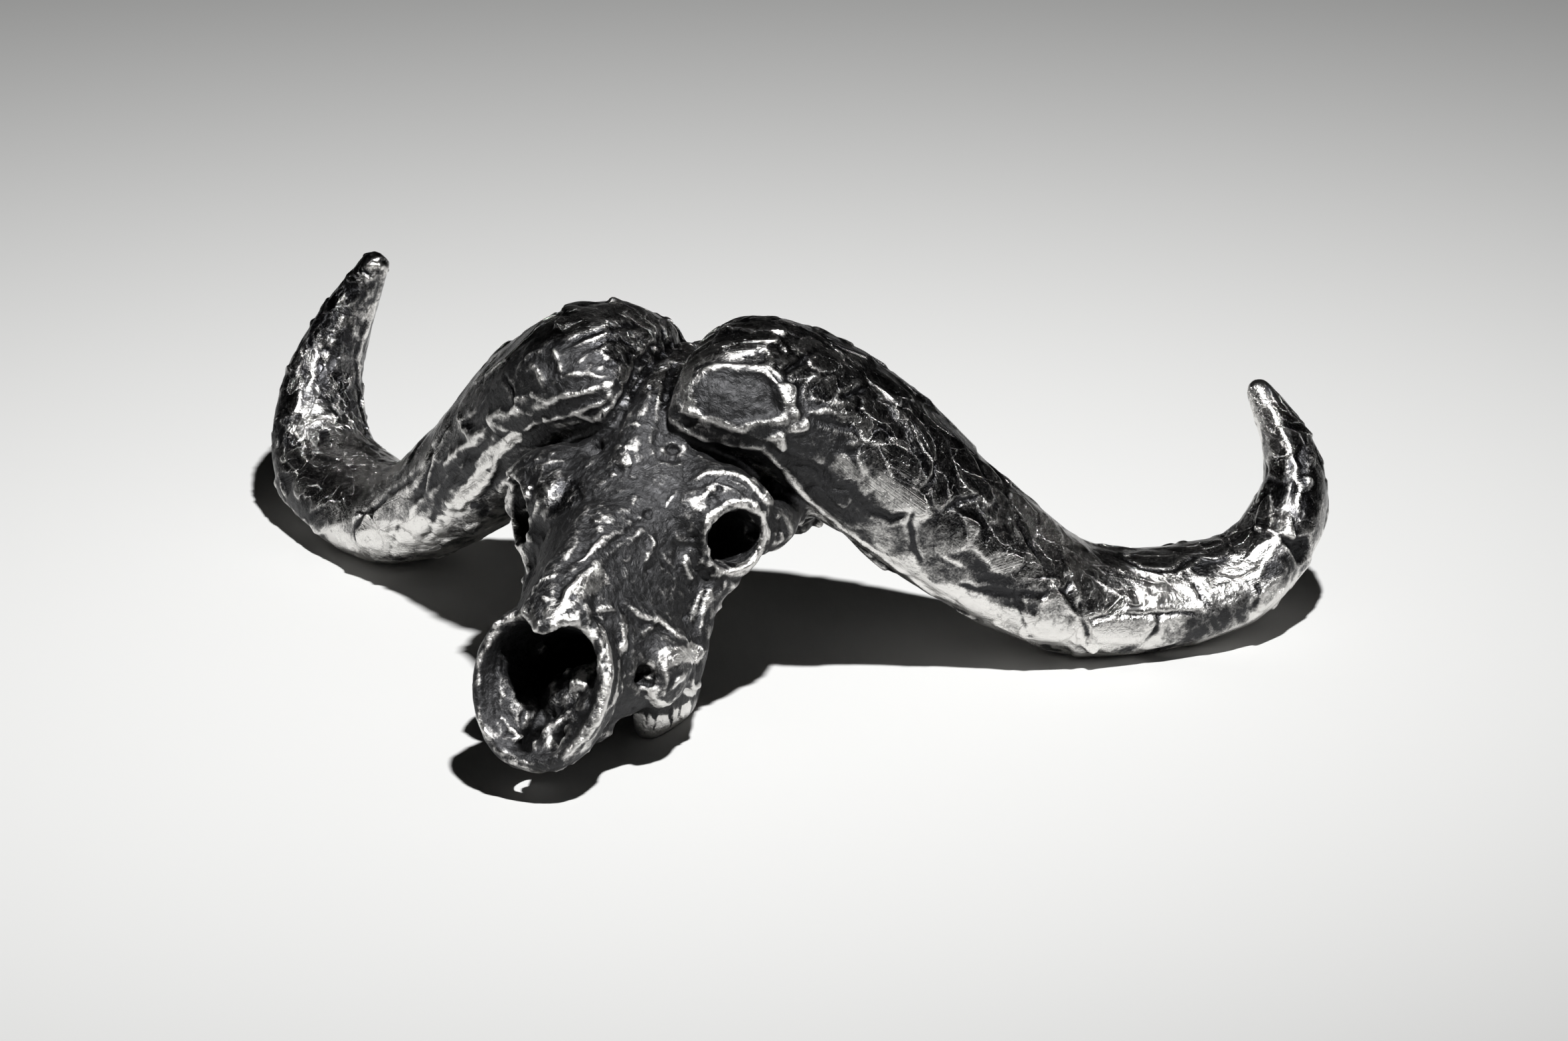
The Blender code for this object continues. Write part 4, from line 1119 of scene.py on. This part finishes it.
def patinated_bronze():
    """Cast bronze, darkened with a chemical patina and rubbed back with a cloth on all that stands out.

    To the eye: near-black in the hollows, grey sheen on the flats, bright polished edges. Its brightness also
    carries painted reflection, highlight and shade laid on the surface.
    """
    material, tree, shader = new_material("patinated_bronze")
    place = add_node(tree, "ShaderNodeTexCoord").outputs["Object"]
    close, wide, comb, combed, rubbed, waxed = (
        add_node(tree, "ShaderNodeAttribute", attribute_name=name).outputs["Fac"]
        for name in ("close_relief", "wide_relief", "comb", "combed", "rubbed", "waxed")
    )

    blotches = add_node(tree, "ShaderNodeTexNoise", {
        "Vector": place, "Scale": BLOTCHES, "Detail": 5.0, "Roughness": 0.6})
    flakes = add_node(tree, "ShaderNodeTexNoise", {
        "Vector": place, "Scale": FLAKES, "Detail": 6.0, "Roughness": 0.62, "Distortion": 0.8})
    grain = add_node(tree, "ShaderNodeTexNoise", {
        "Vector": place, "Scale": GRAIN, "Detail": 3.0, "Roughness": 0.7})
    # Each chip is a little higher or lower than the next, with thin sharp edges bent by the blotches
    bent = add_node(tree, "ShaderNodeVectorMath", {
        0: blotches.outputs["Color"], 1: (0.012, 0.012, 0.012), 2: place}, operation="MULTIPLY_ADD")
    chips = add_node(tree, "ShaderNodeTexVoronoi", {
        "Vector": bent.outputs["Vector"], "Scale": CHIPS}, feature="F1")

    # The cloth reaches what stands out close by, and misses some blotches, flakes, specks and chips. The
    #     # starting value also holds the painted reflection, highlight and shade laid on the surface.
    reach = add_node(tree, "ShaderNodeMapRange", {"Value": waxed, "To Min": 3.9, "To Max": 1.5})
    wear_and_light_sum = rubbed
    for source, weight in (
        (close, reach.outputs["Result"]),
        (wide, 0.25),
        (blotches.outputs["Fac"], 0.7),
        (flakes.outputs["Fac"], 1.0),
        (grain.outputs["Fac"], 0.8),
        (chips.outputs["Color"], 0.3),
    ):
        added = add_node(tree, "ShaderNodeMath", {0: source, 1: weight, 2: wear_and_light_sum}, operation="MULTIPLY_ADD")
        wear_and_light_sum = added.outputs[0]
    wear_and_light_level = add_node(tree, "ShaderNodeMapRange", {"Value": wear_and_light_sum, "From Min": 1.57, "From Max": 2.28})
    shown = add_node(tree, "ShaderNodeMath", {0: wear_and_light_level.outputs["Result"], 1: 2.0}, operation="POWER")
    # A mix node holds its colour sockets after its number sockets
    tone = add_node(tree, "ShaderNodeMix", {"Factor": shown.outputs[0]}, data_type="RGBA")
    patina = add_node(tree, "ShaderNodeMix", {"Factor": waxed}, data_type="RGBA")
    patina.inputs[6].default_value = colour(DRY_PATINA)
    patina.inputs[7].default_value = colour(WAXED_PATINA)
    tree.links.new(patina.outputs[2], tone.inputs[6])
    tone.inputs[7].default_value = colour(BRIGHT_METAL)
    # Wax makes the dark metal of the horns glossy, and the cloth the bright metal
    wiped = add_node(tree, "ShaderNodeMath", {0: wear_and_light_level.outputs["Result"], 1: 0.65}, operation="MULTIPLY")
    smooth = add_node(tree, "ShaderNodeMath", {0: waxed, 1: wiped.outputs[0]}, operation="MAXIMUM")
    rough = add_node(tree, "ShaderNodeMapRange", {"Value": smooth.outputs[0], "To Min": 0.48, "To Max": 0.22})
    speck = add_node(tree, "ShaderNodeMath", {
        0: grain.outputs["Fac"], 1: 0.2, 2: rough.outputs["Result"]}, operation="MULTIPLY_ADD")
    gloss = add_node(tree, "ShaderNodeMath", {0: speck.outputs[0], 1: 0.10}, operation="SUBTRACT")

    # Chips and flakes, rubbed down where the metal is waxed
    left = add_node(tree, "ShaderNodeMapRange", {"Value": waxed, "To Min": 1.0, "To Max": 0.4})
    laid = add_node(tree, "ShaderNodeMath", {
        0: chips.outputs["Color"], 1: 1.2, 2: flakes.outputs["Fac"]}, operation="MULTIPLY_ADD")
    flaked = add_node(tree, "ShaderNodeBump", {
        "Height": laid.outputs[0], "Strength": left.outputs["Result"], "Distance": CHIP_DEPTH})
    # Uneven comb scratches along the smears, and the grain of the cast
    scratch = add_node(tree, "ShaderNodeTexNoise", {
        "W": comb, "Scale": COMB_LINES, "Detail": 2.0, "Roughness": 0.7}, noise_dimensions="1D")
    scratches = add_node(tree, "ShaderNodeMath", {0: scratch.outputs["Fac"], 1: combed}, operation="MULTIPLY")
    fine = add_node(tree, "ShaderNodeMath", {
        0: grain.outputs["Fac"], 1: 0.45, 2: scratches.outputs[0]}, operation="MULTIPLY_ADD")
    bump = add_node(tree, "ShaderNodeBump", {
        "Height": fine.outputs[0], "Strength": 0.8, "Distance": SCRATCH_DEPTH,
        "Normal": flaked.outputs["Normal"]})

    tree.links.new(tone.outputs[2], shader.inputs["Base Color"])
    tree.links.new(gloss.outputs[0], shader.inputs["Roughness"])
    tree.links.new(bump.outputs["Normal"], shader.inputs["Normal"])
    shader.inputs["Metallic"].default_value = 1.0
    return material


def matte_paper():
    """Seamless background paper: matte, with no texture that shows at this distance.

    It is a light grey that the lamp lights to white, so that it throws little light back into the shadows.
    """
    material, _, shader = new_material("matte_paper")
    shader.inputs["Base Color"].default_value = colour(GREY_PAPER)
    shader.inputs["Roughness"].default_value = 0.95
    shader.inputs["Specular IOR Level"].default_value = 0.1
    return material


# Studio

def add_floor():
    """A sheet of paper that fills the picture and ends soon past it, so that the tops mirror a dark room."""
    deselect_all()
    toward, beside, behind = PAPER_REACH
    turn = math.radians(CAMERA_TURN)
    right = np.array((math.cos(turn), math.sin(turn), 0.0))
    away = np.array((-math.sin(turn), math.cos(turn), 0.0))
    middle = LOOK_AT * (1.0, 1.0, 0.0)
    ends = ((-beside, -toward), (beside, -toward), (beside, behind), (-beside, behind))
    corners = [tuple((middle + right * x + away * y) * MM) for x, y in ends]
    mesh = bpy.data.meshes.new("studio_floor")
    mesh.from_pydata(corners, [], [(0, 1, 2, 3)])
    floor = bpy.data.objects.new("studio_floor", mesh)
    bpy.context.scene.collection.objects.link(floor)
    floor.data.materials.append(matte_paper())
    return floor


def add_studio():
    """One small round lamp in front and high up, in a room that is all but dark."""
    start = Vector(LAMP_PLACE) * MM
    turn = (Vector(LAMP_AIM) * MM - start).to_track_quat("-Z", "Y").to_euler()
    bpy.ops.object.light_add(type="AREA", location=start, rotation=turn)
    lamp = bpy.context.object
    lamp.name = "key_lamp"
    lamp.data.shape = "DISK"
    lamp.data.size = LAMP_WIDTH * MM
    lamp.data.energy = LAMP_POWER
    world = bpy.data.worlds.new("dim_studio")
    world.use_nodes = True
    backdrop = world.node_tree.nodes["Background"]
    backdrop.inputs["Color"].default_value = colour("#ffffff")
    backdrop.inputs["Strength"].default_value = ROOM_LIGHT
    bpy.context.scene.world = world
    bpy.context.scene.view_settings.view_transform = "Standard"


bronze = patinated_bronze()
for piece in work_casting(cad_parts["skull"]):
    piece.data.materials.clear()
    piece.data.materials.append(bronze)
    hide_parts("skull")
    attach(piece, "root")
add_floor()
add_studio()
add_camera()
